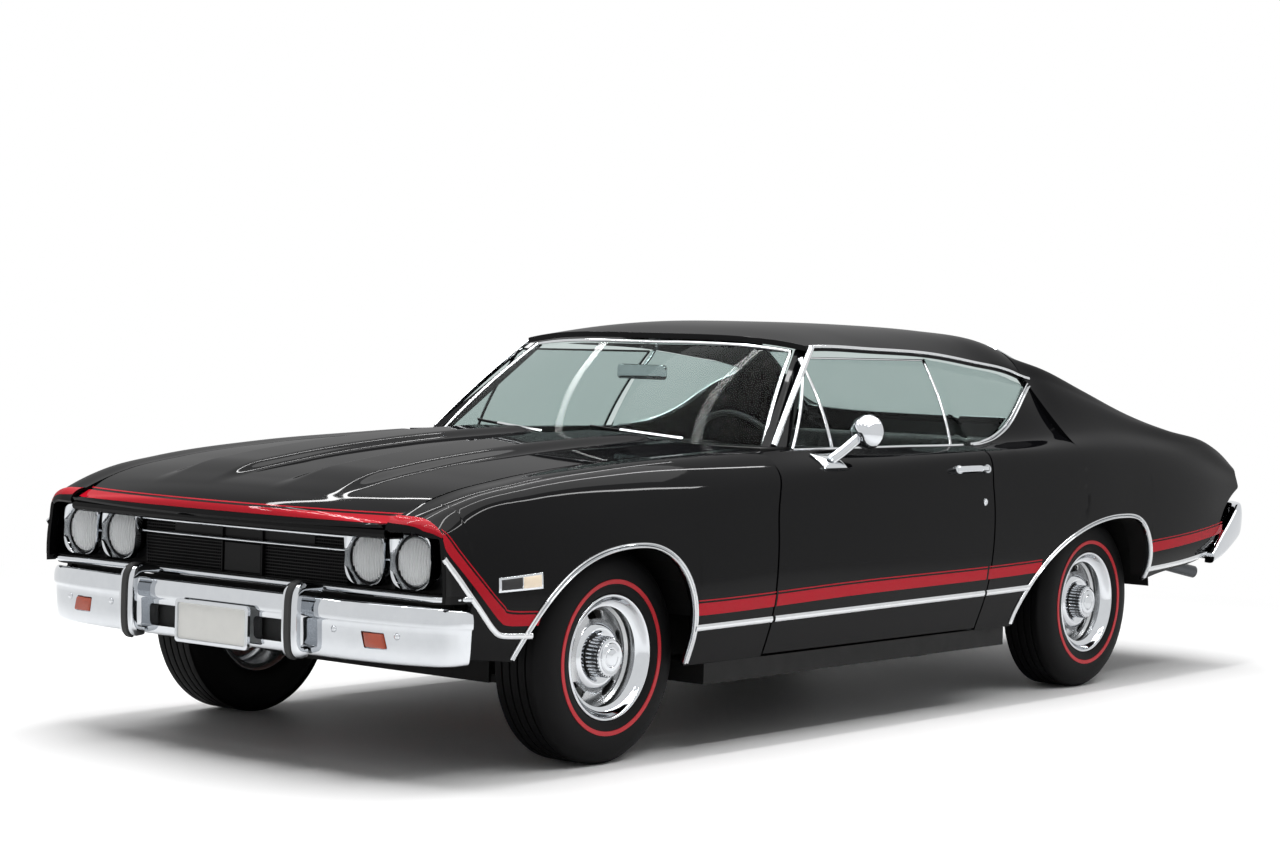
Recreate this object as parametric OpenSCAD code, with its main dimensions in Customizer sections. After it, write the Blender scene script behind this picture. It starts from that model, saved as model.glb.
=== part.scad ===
// Two-door fastback hardtop muscle car of the late 1960s, as an assembly of its panels and running gear.
// Frame: +X ahead, +Y to the car's left, +Z up, in mm; the origin lies on the ground under the middle.

/* [Overall] */
// Distance between the front and rear axles
wheelbase = 2845; // [2750:5:2940]
// Distance between the middles of the two tyres on an axle; it follows the body width
track = 1500; // [1470:2:1530]
// Width across the widest part of the doors
body_width = 1922; // [1890:2:1960]
// Height of the roof crown above the ground
roof_height = 1345; // [1310:1:1380]

/* [Wheels] */
// Radius of the tyre at its tread
tyre_radius = 322; // [314:1:328]
// Width of the tyre
tyre_width = 194; // [180:1:204]
// Radius of the wheel where the tyre's bead sits
bead_radius = 178; // [172:1:182]
// Outside radius of the bright trim ring
ring_radius = 191; // [186:1:196]
// Radius of the wheel spindle
spindle_radius = 20; // [16:0.5:24]
// Number of cooling slots in a wheel disc
wheel_slots = 5; // [4:1:7]
// Number of flutes around the wheel's centre cap
cap_flutes = 30; // [20:2:40]

/* [Panels] */
// Thickness of the fender and quarter panels
panel_thickness = 14; // [10:1:16]
// Thickness of the hood, trunk lid and roof
lid_thickness = 20; // [16:1:24]
// Thickness of the window glass
glass_thickness = 6; // [4:0.5:8]
// Open gap between a door, hood or lid and the panel beside it
panel_gap = 8; // [7:0.5:12]
// Height of the raised domes on the hood
dome_height = 20; // [0:1:30]
// Distance of a door's inner face from the middle of the car
door_inner = 785; // [770:1:795]

/* [Bumpers] */
// Height of the front bumper blade
bumper_height = 168; // [140:2:190]
// Depth of the bumper blades, front to back
bumper_depth = 42; // [34:1:60]
// Width of a front bumper guard
guard_width = 58; // [44:1:70]

/* [Lamps] */
// Radius of a headlamp lens
lamp_radius = 72; // [62:1:76]
// Width of the number plate blank
plate_width = 305; // [280:1:320]
// Height of the number plate blank
plate_height = 120; // [100:1:150]

/* [Cabin] */
// Radius of the steering wheel
wheel_rim_radius = 195; // [180:1:205]
// Thickness of the steering wheel rim
wheel_rim_section = 11; // [9:0.5:14]
// Width of a front seat
seat_width = 520; // [480:5:530]
// Thickness of the seat backs
seat_back = 120; // [90:2:140]
// Radius of the outside mirror head
mirror_radius = 58; // [48:1:66]

/* [Running gear] */
// Thickness of the floor panel
floor_thickness = 15; // [10:1:20]
// Radius of the rear axle tube
axle_tube_radius = 42; // [34:1:50]
// Radius of the exhaust pipes
pipe_radius = 30; // [24:1:34]
// Running clearance between a pin or spindle and its bore
run_clearance = 0.05; // [0.03:0.01:0.1]

/* [Hidden] */

// The tables below hold for the wheelbase, width and roof height written here; fit() moves them with the car.
table_for = [2845, 1922, 1345];
belt_height = 926;
front_axle = 1586;
rear_axle_x = -1259;
kx = wheelbase / table_for[0];
ky = body_width / table_for[1];
kz = (roof_height - belt_height) / (table_for[2] - belt_height);
function fit(p) = [p.x * kx, p.y * ky, p.z <= belt_height ? p.z : belt_height + (p.z - belt_height) * kz];
axle_f = front_axle * kx;
axle_r = rear_axle_x * kx;
wheel_y = (track + body_width - table_for[1]) / 2;
king_y = wheel_y - 75;
sill_z = 280;
seat_gap = 0.4;

// Smooth curve through points p at rising knots k, read at s.
function seek(k, s, i = 0) = i >= len(k) - 2 || s <= k[i + 1] ? i : seek(k, s, i + 1);
function tangent(p, k, i) =
    i == 0 ? (p[1] - p[0]) / (k[1] - k[0]) :
    i == len(p) - 1 ? (p[i] - p[i - 1]) / (k[i] - k[i - 1]) :
    let (a = k[i] - k[i - 1], b = k[i + 1] - k[i])
    ((p[i] - p[i - 1]) * b / a + (p[i + 1] - p[i]) * a / b) / (a + b);
function hermite(p, q, m, n, h, u) = p * (1 + u * u * (2 * u - 3)) + q * u * u * (3 - 2 * u)
    + m * h * u * (1 - u) * (1 - u) - n * h * u * u * (1 - u);
function curve(p, k, s) = let (i = seek(k, s), h = k[i + 1] - k[i])
    hermite(p[i], p[i + 1], tangent(p, k, i), tangent(p, k, i + 1), h, (s - k[i]) / h);
function clip(v, lo, hi) = min(max(v, lo), hi);
function on_line(line, x) = let (k = [for (r = line) r[0]], s = clip(x, k[0], k[len(k) - 1]),
    p = curve(line, k, s)) [x, p[1], p[2]];
function ease(v) = let (u = clip(v, 0, 1)) u * u * (3 - 2 * u);
function mix(a, b, u) = a + (b - a) * u;
function look(table, s) = curve([for (r = table) r[1]], [for (r = table) r[0]],
    clip(s, table[0][0], table[len(table) - 1][0]));

// Feature lines of the left side, rear to front. Columns: x, y, z.
sill_line = [[-2330, 868, 505], [-2060, 890, 452], [-1560, 912, 396], [-1300, 915, 330], [-1000, 910, 280],
    [-560, 905, 280], [900, 897, 280], [1240, 894, 280], [1310, 893, 280.5], [2050, 862, 345],
    [2300, 815, 372]];
low_line = [[-2330, 886, 545], [-2060, 908, 495], [-1530, 938, 447], [-560, 944, 425], [900, 940, 412],
    [1310, 937, 408], [2050, 893, 428], [2300, 842, 450]];
wide_line = [[-2440, 866, 660], [-2060, 924, 640], [-1300, 958, 612], [-560, 961, 600], [400, 960, 595],
    [1310, 952, 590], [1750, 938, 592], [2050, 908, 590], [2310, 856, 580]];
upper_line = [[-2440, 860, 735], [-2060, 912, 770], [-1300, 946, 790], [-360, 945, 780], [400, 943, 755],
    [1310, 931, 720], [1750, 915, 705], [2050, 886, 690], [2320, 846, 660]];
shoulder_line = [[-2440, 848, 775], [-2060, 882, 850], [-1300, 914, 903], [-700, 914, 905], [-228, 912, 893],
    [387, 911, 866], [889, 905, 842], [1447, 895, 800], [1994, 866, 758], [2330, 835, 712]];
belt_line = [[-2440, 840, 800], [-2200, 858, 880], [-2060, 863, 896], [-1600, 842, 955], [-1300, 832, 975],
    [-985, 826, 960], [-700, 815, 938], [-435, 808, 927], [0, 806, 926], [400, 808, 924.6], [800, 812, 921],
    [1031, 820, 909], [1506, 822, 883], [1945, 815, 840], [2152, 806, 805], [2252, 799, 775],
    [2345, 790, 740]];
ridge_line = [[-2440, 828, 812], [-2340, 830, 862], [-2200, 836, 910], [-1888, 828, 962], [-1615, 797, 1012],
    [-1400, 748, 1080], [-1170, 692, 1148], [-1030, 657, 1172], [-960, 650, 1190], [-700, 646, 1222],
    [-420, 648, 1248], [-36, 645, 1260], [295, 625, 1264], [400, 612, 1258]];
crest_line = [[-2440, 800, 815], [-2200, 806, 914], [-1888, 790, 970], [-1615, 745, 1042], [-1400, 694, 1122],
    [-1170, 640, 1205], [-1030, 602, 1236]];
gap_line = [[780, 690, 929], [1031, 690, 918], [1506, 690, 893], [1945, 688, 850], [2152, 685, 816],
    [2252, 680, 788], [2400, 668, 735]];
// Middle of the roof, rear window and trunk lid. Columns: x, y, z.
centre_line = [[-2436, 0, 800], [-2424, 0, 846], [-2400, 0, 874], [-2300, 0, 896], [-2000, 0, 936],
    [-1640, 0, 968], [-1560, 0, 994], [-1400, 0, 1086], [-1170, 0, 1218], [-1030, 0, 1282], [-930, 0, 1308],
    [-700, 0, 1333], [-420, 0, 1344], [-150, 0, 1345], [0, 0, 1341], [200, 0, 1324], [400, 0, 1288]];
// Fullness of the top's cross-section. Columns: x, power.
top_power = [[-2440, 2.4], [-1640, 2.4], [-1500, 5], [-1170, 9], [-930, 10], [-700, 6.5], [-400, 4.2],
    [0, 3.4], [400, 3.2]];
// Edge of the rear window and trunk opening. Columns: x, y, z.
inner_line = [for (r = [[-2440, 690], [-2200, 702], [-1640, 702], [-1560, 690], [-1400, 652], [-1170, 594],
    [-1000, 552]]) [r[0], r[1], top_z(r[0], r[1])]];
front_lines = [sill_line, low_line, wide_line, upper_line, shoulder_line, belt_line, gap_line];
rear_lines = [sill_line, low_line, wide_line, upper_line, shoulder_line, belt_line, ridge_line, crest_line,
    inner_line];

// Height of the top of the car behind the windshield.
function top_z(x, y) = let (e = on_line(ridge_line, x), c = on_line(centre_line, x))
    c.z - (c.z - e.z) * pow(min(abs(y) / e.y, 1.1), look(top_power, x));

// Middle of the hood. Columns: x, z.
hood_line = [[780, 949], [1031, 941], [1506, 915], [1945, 870], [2200, 830], [2300, 806], [2390, 765],
    [2420, 742], [2428, 722]];
function hood_z(x, y) = let (e = on_line(gap_line, x), c = look(hood_line, x), a = abs(y),
    dome = ease((a - 95) / 70) * ease((430 - a) / 80) * ease((2330 - x) / 260) * ease((x - 830) / 60))
    c - (c - e.z) * pow(min(a / e.y, 1), 2.2) + dome_height * dome;

// One cross-section of the side, and a point t lines up it.
function ribs(lines, x) = [for (l = lines) on_line(l, x)];
function chord(c, i) = norm(c[i + 1] - c[i]);
function lean(c, i) =
    i == 0 ? (c[1] - c[0]) / chord(c, 0) :
    i == len(c) - 1 ? (c[i] - c[i - 1]) / chord(c, i - 1) :
    let (a = chord(c, i - 1), b = chord(c, i))
    ((c[i] - c[i - 1]) * b / a + (c[i + 1] - c[i]) * a / b) / (a + b);
function up_rib(c, t) = let (i = clip(floor(t), 0, len(c) - 2))
    hermite(c[i], c[i + 1], lean(c, i), lean(c, i + 1), chord(c, i), t - i);
function rise(c, z, lo = 0, hi = 5, n = 14) = n == 0 ? (lo + hi) / 2 :
    let (m = (lo + hi) / 2) up_rib(c, m).z < z ? rise(c, z, m, hi, n - 1) : rise(c, z, lo, m, n - 1);
function outward(c, t) = let (n = len(c) - 1, d = up_rib(c, min(t + 0.02, n)) - up_rib(c, max(t - 0.02, 0)))
    [0, d.z, -d.y] / norm([d.y, d.z]);

// Closed solid between an outer and an inner grid of points, rows listed front to back.
module skin(outer, inner) {
    n = len(outer);
    m = len(outer[0]);
    s = n * m;
    function at(i, j) = i * m + j;
    points = [for (g = [outer, inner]) for (row = g) for (p = row) fit(p)];
    sheets = [for (i = [0 : n - 2]) for (j = [0 : m - 2])
        for (f = [[at(i, j), at(i + 1, j), at(i + 1, j + 1)], [at(i, j), at(i + 1, j + 1), at(i, j + 1)],
            [s + at(i, j), s + at(i + 1, j + 1), s + at(i + 1, j)],
            [s + at(i, j), s + at(i, j + 1), s + at(i + 1, j + 1)]]) f];
    ends = [for (j = [0 : m - 2])
        for (f = [[at(0, j), at(0, j + 1), s + at(0, j)], [at(0, j + 1), s + at(0, j + 1), s + at(0, j)],
            [at(n - 1, j), s + at(n - 1, j), at(n - 1, j + 1)],
            [at(n - 1, j + 1), s + at(n - 1, j), s + at(n - 1, j + 1)]]) f];
    sides = [for (i = [0 : n - 2])
        for (f = [[at(i, 0), s + at(i, 0), at(i + 1, 0)], [at(i + 1, 0), s + at(i, 0), s + at(i + 1, 0)],
            [at(i, m - 1), at(i + 1, m - 1), s + at(i, m - 1)],
            [at(i + 1, m - 1), s + at(i + 1, m - 1), s + at(i, m - 1)]]) f];
    polyhedron(points, concat(sheets, ends, sides), convexity = 8);
}

// Box between two corners of the body, moved by fit().
module block(x, y, z) {
    a = fit([x[0], y[0], z[0]]);
    b = fit([x[1], y[1], z[1]]);
    translate(a) cube(b - a);
}
module both() {
    children();
    mirror([0, 1, 0]) children();
}
// Plate of a side view polygon between two widths.
module side_plate(points, y0, y1) {
    translate([0, y1, 0]) rotate([90, 0, 0]) linear_extrude(y1 - y0) polygon(points);
}
module cross_rod(r, y0, y1) {
    translate([0, y1, 0]) rotate([90, 0, 0]) cylinder(r = r, h = y1 - y0);
}

// Wheel arch edges, as x and z for an angle from the rear foot over to the front foot.
// Columns: middle x, foot z, height, half length behind, power behind, half length ahead, power ahead.
front_arch = [1590, 275, 380, 289, 2.45, 470, 2.1];
rear_arch = [-1270, 275, 373, 280, 3.5, 680, 1.85];
function arch(a, w) = let (ahead = w > 90, q = 2 / (ahead ? a[6] : a[4]), half = ahead ? a[5] : -a[3])
    [a[0] + half * pow(abs(cos(w)), q), a[1] + a[2] * pow(sin(w), q)];

/* Front fenders: from the door's front cut to the lamps, with the arch for the steered wheel. */
door_front = 900;
fender_rear = door_front + panel_gap * 1.1;
bevel = 18;
// Backward sweep of the cut between fender and door. Columns: z, sweep.
cut_sweep = [[280, 0], [640, 0], [720, -12], [790, -38], [850, -70], [905, -88], [935, -92]];
// Lower edge ahead of the wheel, stepped up where the bumper wraps round. Columns: x, z or 0 for the sill.
fender_nose = [[2120, 0], [2190, 0], [2236, 0], [2242, 524], [2290, 524], [2330, 524]];
fender_cols = concat([for (x = [fender_rear, 985, 1080, 1190]) [x, 0]],
    [for (w = [0 : 15 : 180]) arch(front_arch, w)], fender_nose);
module fender() {
    rows = 12;
    grid = [for (k = [0 : len(fender_cols) - 1]) let (col = fender_cols[k],
        fade = clip(1 - (col[0] - fender_rear) / 280, 0, 1), first = k == 0)
        [for (j = [0 : rows]) let (s = j / rows,
            foot = ribs(front_lines, col[0]), t0 = col[1] == 0 ? 0 : rise(foot, max(col[1], foot[0].z)),
            t = mix(t0, 6, s),
            x = col[0] + look(cut_sweep, up_rib(foot, t).z) * fade,
            c = ribs(front_lines, x),
            p = up_rib(c, t),
            n = s == 1 ? [0, 0, 1] : s == 0 && t0 == 0 ? [0, 1, 0] : outward(c, t))
            [p, p - n * panel_thickness + (first ? [bevel, 0, 0] : [0, 0, 0])]]];
    skin([for (r = grid) [for (g = r) g[0]]], [for (r = grid) [for (g = r) g[1]]]);
}
module front_fenders() {
    color("#0b0b0c") both() fender();
}

/* Quarter panels: from the door's rear cut over the rear wheel to the tail, with the sail by the window. */
door_rear = -345;
quarter_front = door_rear - panel_gap;
window_foot = -440;
sail_front = -1031;
// Top edge of the panel under the rear side window. Columns: x, lines up the side.
window_edge = [[-1030, 5.86], [-985, 5.74], [-918, 5.58], [-780, 5.3], [-634, 5.12], [-440, 5]];
// Rearmost reach of the panel at heights above the ground. Columns: height share, x.
tail_cut = [[0, -2060], [0.086, -2112], [0.18, -2180], [0.25, -2256], [0.3, -2334], [0.36, -2440],
    [1, -2440]];
quarter_cols = concat([for (x = [quarter_front, -385, -440]) [x, 0]],
    [for (w = [180 : -12 : 0]) let (a = arch(rear_arch, w)) if (a[0] < -480) a],
    [for (x = [-1600, -1700, -1830, -1960, -2080, -2200, -2300, -2370, -2420, -2440]) [x, 0]]);
function quarter_top(x) = x > window_foot ? 5 : look(window_edge, x);
module quarter() {
    rows = 14;
    cols = concat([for (c = quarter_cols) if (c[0] > sail_front + 40) c],
        [for (x = [-1030.4, -1030.8]) [x, quarter_arch_z(x)]],
        [for (c = quarter_cols) if (c[0] < sail_front - 40) c]);
    grid = [for (k = [0 : len(cols) - 1]) let (col = cols[k],
        top = col[0] > -1030.6 ? quarter_top(max(col[0], -1030)) : 8,
        fade = clip(1 + (col[0] - quarter_front) / 120, 0, 1))
        [for (j = [0 : rows]) let (s = j / rows,
            x1 = col[0] - 62 * s * fade,
            x = max(x1, look(tail_cut, s)),
            c = ribs(rear_lines, x), t0 = col[1] == 0 ? 0 : rise(c, max(col[1], c[0].z)), t = mix(t0, top, s),
            p = up_rib(c, t),
            n = s == 0 && t0 == 0 && x > -600 ? [0, 1, 0] : outward(c, t))
            [p, p - n * panel_thickness + (k == len(cols) - 1 ? [12, 0, 0] : [0, 0, 0])]]];
    skin([for (i = [len(grid) - 1 : -1 : 0]) [for (g = grid[i]) g[0]]],
        [for (i = [len(grid) - 1 : -1 : 0]) [for (g = grid[i]) g[1]]]);
}
function quarter_arch_z(x) = let (ahead = x > rear_arch[0],
    q = ahead ? [rear_arch[5], rear_arch[6]] : [rear_arch[3], rear_arch[4]],
    u = min(abs(x - rear_arch[0]) / q[0], 1)) rear_arch[1] + rear_arch[2] * pow(1 - pow(u, q[1]), 1 / q[1]);
module quarter_panels() {
    color("#0b0b0c") both() quarter();
}

/* Roof: one curved panel from the windshield header to the rear window, on two raked front pillars. */
function header_x(v) = 372 - 50 * v * v;
function roof_rear(v) = -930 - 100 * v * v;
module roof_skin() {
    cols = 14;
    rows = 12;
    // Rows closer together where the top turns down to the drip rail.
    function across(w) = sign(w) * (1 - pow(1 - abs(w), 1.9));
    grid = [for (i = [0 : cols]) [for (j = [0 : rows]) let (v = across(1 - 2 * j / rows),
        x = mix(roof_rear(v), header_x(v), i / cols), e = on_line(ridge_line, x), y = v * e.y)
        [x, y, top_z(x, y)]]];
    skin(grid, [for (r = grid) [for (p = r) p - [0, 0, lid_thickness]]]);
}
cowl_top = 930;
pillar_foot = [[690, 712], [690, 748], [610, 770], [610, 724]];
pillar_head = [[318, 572], [318, 590], [262, 600], [262, 576]];
module pillar() {
    low = [for (p = pillar_foot) [p[0], p[1], cowl_top + seat_gap]];
    high = [for (p = pillar_head) [p[0], p[1], top_z(p[0], p[1]) - lid_thickness - 3]];
    skin([[low[0], high[0]], [low[3], high[3]]], [[low[1], high[1]], [low[2], high[2]]]);
}
module roof() {
    color("#0b0b0c") {
        roof_skin();
        both() pillar();
    }
}

/* Deck panel: the strip between the rear window and the trunk lid, with the parcel shelf under it. */
strip_front = -1562;
strip_rear = -1640;
shelf_z = 912;
module top_sheet(xs, margin, thickness, lean_in) {
    rows = 10;
    grid = [for (i = [0 : len(xs) - 1]) [for (j = [0 : rows]) let (v = 1 - 2 * j / rows,
        y = v * (on_line(inner_line, xs[i]).y - margin), z = top_z(xs[i], y))
        [[xs[i], y, z], [xs[i] + lean_in[i], y, z - thickness]]]];
    skin([for (r = grid) [for (g = r) g[0]]], [for (r = grid) [for (g = r) g[1]]]);
}
// Half width of the slots that the lid's gooseneck arms swing through.
neck_slot = 14;
module deck_panel() {
    color("#0b0b0c") {
        top_sheet([strip_rear, -1600, strip_front], 0.7, lid_thickness, [0, 0, 0]);
        difference() {
            union() {
                block([-1600, -1585], [-560, 560], [shelf_z, 972]);
                block([-1600, -1262], [-595, 595], [shelf_z - 12, shelf_z]);
            }
            both() block([-1620, -1515], [trunk_pin.y - neck_slot, trunk_pin.y + neck_slot], [880, 935]);
        }
    }
}

/* Rear window, windshield and side windows: curved glass with open seams round the edges. */
module rear_window() {
    cols = 8;
    rows = 10;
    grid = [for (i = [cols : -1 : 0]) [for (j = [0 : rows]) let (w = 1 - 2 * j / rows,
        x = mix(-936 - 80 * w * w, strip_front + 0.7, i / cols), y = w * (on_line(inner_line, x).y - 3.4))
        [x, y, top_z(x, y)]]];
    color("#9fb3ac", 0.4)
        skin(grid, [for (r = grid) [for (p = r) p - [0, 0, glass_thickness * 1.3]]]);
}
screen_foot = [766, 96, 708];
screen_head = [376, 44, 566];
module windshield() {
    cols = 6;
    rows = 12;
    grid = [for (i = [cols : -1 : 0]) [for (j = [0 : rows]) let (v = 1 - 2 * j / rows, u = i / cols,
        low = [screen_foot[0] - screen_foot[1] * v * v, screen_foot[2] * v, cowl_top + seat_gap],
        top_x = screen_head[0] - screen_head[1] * v * v,
        high = [top_x, screen_head[2] * v, top_z(top_x, screen_head[2] * v) - 30])
        mix(high, low, u) + [18, 0, 14] * u * (1 - u) * 4 * (1 - 0.5 * v * v)]];
    color("#9fb3ac", 0.4)
        skin([for (i = [cols : -1 : 0]) grid[i]],
            [for (i = [cols : -1 : 0]) [for (p = grid[i]) p - [glass_thickness * 1.3, 0, 0]]]);
}
// Corners of a side window, as x at the belt and at the roof rail.
rail_y = 624;
belt_y = 793;
module side_glass(front_low, front_high, rear_low, rear_high) {
    rows = 5;
    function bow(u) = 16 * u * (1 - u) * 4;
    grid = [for (e = [[rear_low, rear_high], [front_low, front_high]])
        [for (j = [0 : rows]) let (u = j / rows)
            [mix(e[0], e[1], u), mix(belt_y, rail_y, u) + bow(u), mix(glass_foot, glass_head, u)]]];
    color("#9fb3ac", 0.4) skin(grid, [for (r = grid) [for (p = r) p - [0, glass_thickness, 0]]]);
}
glass_foot = belt_height + 0.6;
glass_head = 1224;
module quarter_glass() {
    rows = 5;
    deep = panel_thickness + 0.85;
    // Inside the door's rear lip the pane stands further in.
    tuck = panel_gap + 4;
    xs = concat([-1012], [for (i = [len(quarter_cols) - 1 : -1 : 0]) let (x = quarter_cols[i][0])
        if (x > -1010 && x < window_foot - 15) x], [window_foot - 10, window_foot + 26, window_foot + 78]);
    grid = [for (x = xs) let (c = ribs(rear_lines, x), t0 = quarter_top(x), e = on_line(ridge_line, x),
        foot = up_rib(c, t0) - outward(c, t0) * deep - [0, tuck * clip((x - window_foot + 10) / 36, 0, 1), 0],
        head = [x, e.y - 24, e.z - 24])
        [for (j = [0 : rows]) let (u = j / rows)
            mix(foot, head, u) + [-46 * u * clip((x - window_foot) / 78, 0, 1), 10 * u * (1 - u) * 4, 0]]];
    color("#9fb3ac", 0.4) skin(grid, [for (r = grid) [for (p = r) p - [0, glass_thickness, 0]]]);
}
module quarter_windows() {
    both() quarter_glass();
}

/* Trunk lid: the rear deck from the strip to the drop over the tail. */
lid_front = strip_rear - 21;
module trunk_lid() {
    color("#0b0b0c") top_sheet([-2434, -2425, -2412, -2385, -2320, -2200, -2050, -1900, -1760, lid_front],
        panel_gap * 1.4, lid_thickness, [18, 12, 6, 0, 0, 0, 0, 0, 0, 0]);
}
// Gooseneck arms of the lid. Columns: x and z from the hinge pin.
trunk_pin = [-1450, 430, 862];
neck = [[12, 10], [12, -14], [-70, -96], [-170, -182], [-282, -72], [-282, 44], [-262, 44], [-262, -58],
    [-168, -152], [-86, -70], [-14, 10]];
module trunk_hinges() {
    foot_x = trunk_pin.x - 287;
    under = fit([0, 0, top_z(foot_x, trunk_pin.y)]).z - lid_thickness + 0.45;
    color("#3a3b3d") both() difference() {
        union() {
            translate(fit(trunk_pin)) side_plate(neck, -6, 6);
            translate(fit(trunk_pin)) cross_rod(15, -6, 6);
            translate(fit([foot_x, trunk_pin.y, trunk_pin.z]) - [0, 6, 0])
                cube([30, 12, under - trunk_pin.z]);
        }
        translate(fit(trunk_pin)) cross_rod(6 + run_clearance, -10, 10);
    }
}

/* Hood: two long domes beside a middle crease, and a lip that turns down over the grille. */
function hood_nose(v) = 2428 - 36 * v * v;
function hood_rear(v) = 872 - 72 * v * v;
module hood() {
    cols = 18;
    rows = 16;
    // Shares of the length, closer together at the lip.
    share = [for (i = [0 : cols]) let (u = i / cols) 1 - pow(1 - u, 1.7)];
    grid = [for (i = [0 : cols]) [for (j = [0 : rows]) let (v = 1 - 2 * j / rows,
        x = mix(hood_rear(v), hood_nose(v), share[i]), e = on_line(gap_line, x), y = v * (e.y - panel_gap),
        lip = 36 * v * v)
        [[x, y, hood_z(x + lip * ease((x - 2200) / 200), y)], x > 2400 - lip ? 16 : 0]]];
    color("#0b0b0c") skin([for (r = grid) [for (g = r) g[0]]],
        [for (r = grid) [for (g = r) g[0] - [g[1], 0, lid_thickness]]]);
}
hood_pin = [835, 600, 893];
module hood_hinges() {
    under = hood_z(900, hood_pin.y) - lid_thickness - 0.9;
    color("#3a3b3d") both() difference() {
        union() {
            translate(fit(hood_pin)) cross_rod(13, -6, 6);
            side_plate([for (p = [[hood_pin.x, hood_pin.z - 13], [880, 890], [960, under - 22],
                [960, under - 14], [885, under + 0.8], [hood_pin.x, hood_pin.z + 13]])
                [fit([p[0], 0, 0]).x, p[1]]],
                fit(hood_pin).y - 6, fit(hood_pin).y + 6);
        }
        translate(fit(hood_pin)) cross_rod(6 + run_clearance, -10, 10);
    }
}

/* Doors: a hollowed outer skin with a thin leading edge, backed by the full thickness of the door. */
slab_front = 800;
door_foot = sill_z + panel_gap;
// Inner face of the door's rear lip, which passes outside the rear side window.
door_lip = belt_y + panel_gap;
module door() {
    rows = 10;
    side_lines = [for (i = [0 : 5]) front_lines[i]];
    // Columns: x, whether the inner face lies on the outer skin, the slab or the thin rear lip.
    cols = [[door_front, 0], [slab_front, 0], [slab_front - 6, 1], [620, 1], [400, 1], [150, 1], [-100, 1],
        [-285, 1], [-290, 2], [door_rear, 2]];
    grid = [for (k = [0 : len(cols) - 1]) [for (j = [0 : rows]) let (s = j / rows, first = k == 0,
        fade = clip(1 - (cols[k][0] - door_rear) / 150, 0, 1),
        foot = ribs(side_lines, cols[k][0]), t0 = rise(foot, door_foot), t = mix(t0, 5, s),
        x = cols[k][0] + (first ? look(cut_sweep, up_rib(foot, t).z) : 0) - 62 * s * fade,
        c = ribs(side_lines, x), p = up_rib(c, t), n = outward(c, t), slab = cols[k][1] > 0,
        inner = slab ? [k == 2 ? slab_front : k == len(cols) - 1 ? x + 26 : x,
            cols[k][1] == 1 ? door_inner : door_lip, p.z] : p - n * panel_thickness)
        [p, inner]]];
    skin([for (i = [len(grid) - 1 : -1 : 0]) [for (g = grid[i]) g[0]]],
        [for (i = [len(grid) - 1 : -1 : 0]) [for (g = grid[i]) g[1]]]);
}
hinge_x = 840;
hinge_y = 907;
hinge_heights = [430, 700];
pin_radius = 6;
knuckle_radius = 9;
module door_ears() {
    for (h = hinge_heights) for (e = [-34, 22]) difference() {
        union() {
            translate([fit([hinge_x, 0, 0]).x, hinge_y * ky, h + e]) cylinder(r = knuckle_radius, h = 12);
            block([slab_front, hinge_x], [hinge_y - 9, hinge_y + 7], [h + e, h + e + 12]);
        }
        translate([fit([hinge_x, 0, 0]).x, hinge_y * ky, h + e - 1])
            cylinder(r = pin_radius + run_clearance, h = 14);
    }
}
// Pull handle on two feet, its bar clear of the skin.
module door_handle() {
    for (x = [-150, -318]) block([x - 12, x + 12], [900, 946], [840, 856]);
    block([-340, -132], [938, 951], [838, 858]);
}
// Round mirror on a raked foot at the front of the belt.
mirror_at = [372, 915, 985];
module door_mirror() {
    translate(fit(mirror_at)) rotate([0, 90, 0]) cylinder(r = mirror_radius, h = 34);
    translate(fit(mirror_at) + [34, 0, 0]) rotate([0, 90, 0])
        cylinder(r1 = mirror_radius, r2 = mirror_radius * 0.55, h = 26);
    side_plate([for (p = [[440, 860], [560, 860], [560, 900], [420, 975], [395, 965]]) [p[0] * kx, p[1]]],
        872 * ky, 898 * ky);
}
module door_left() {
    color("#0b0b0c") {
        door();
        door_handle();
        door_mirror();
    }
}
module door_left_glass() {
    side_glass(628, 352, -340, -398);
}
module door_left_hinges() {
    color("#3a3b3d") door_ears();
}
module door_right() {
    color("#0b0b0c") mirror([0, 1, 0]) {
        door();
        door_handle();
    }
}
module door_right_glass() {
    mirror([0, 1, 0]) side_glass(628, 352, -340, -398);
}
module door_right_hinges() {
    color("#3a3b3d") mirror([0, 1, 0]) door_ears();
}

/* Hinge brackets: cranked straps for the doors, and brackets with cross pins for the hood and the lid. */
module door_strap() {
    x = hinge_x * kx;
    y = hinge_y * ky;
    far = pillar_rear * kx;
    for (h = hinge_heights) {
        translate([x, y, h - 36]) cylinder(r = pin_radius, h = 72);
        translate([x - 9, y - 88, h - 15]) cube([18, 88, 30]);
        translate([x - 9, y - 88, h - 15]) cube([far - x + 9, 14, 30]);
        translate([x, y, h - 15]) cylinder(r = 9, h = 30);
    }
}
module hinge_brackets() {
    color("#3a3b3d") both() {
        door_strap();
        translate(fit(hood_pin)) cross_rod(6, -9, 30);
        block([hood_pin.x - 10, hood_pin.x + 10], [hood_pin.y + 14, hood_pin.y + 26],
            [ledge_top, hood_pin.z + 7]);
        translate(fit(trunk_pin)) cross_rod(6, -9, 30);
        block([trunk_pin.x - 16, trunk_pin.x + 16], [trunk_pin.y + 14, trunk_pin.y + 26],
            [trunk_pin.z - 14, shelf_z - 12]);
    }
}

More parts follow.
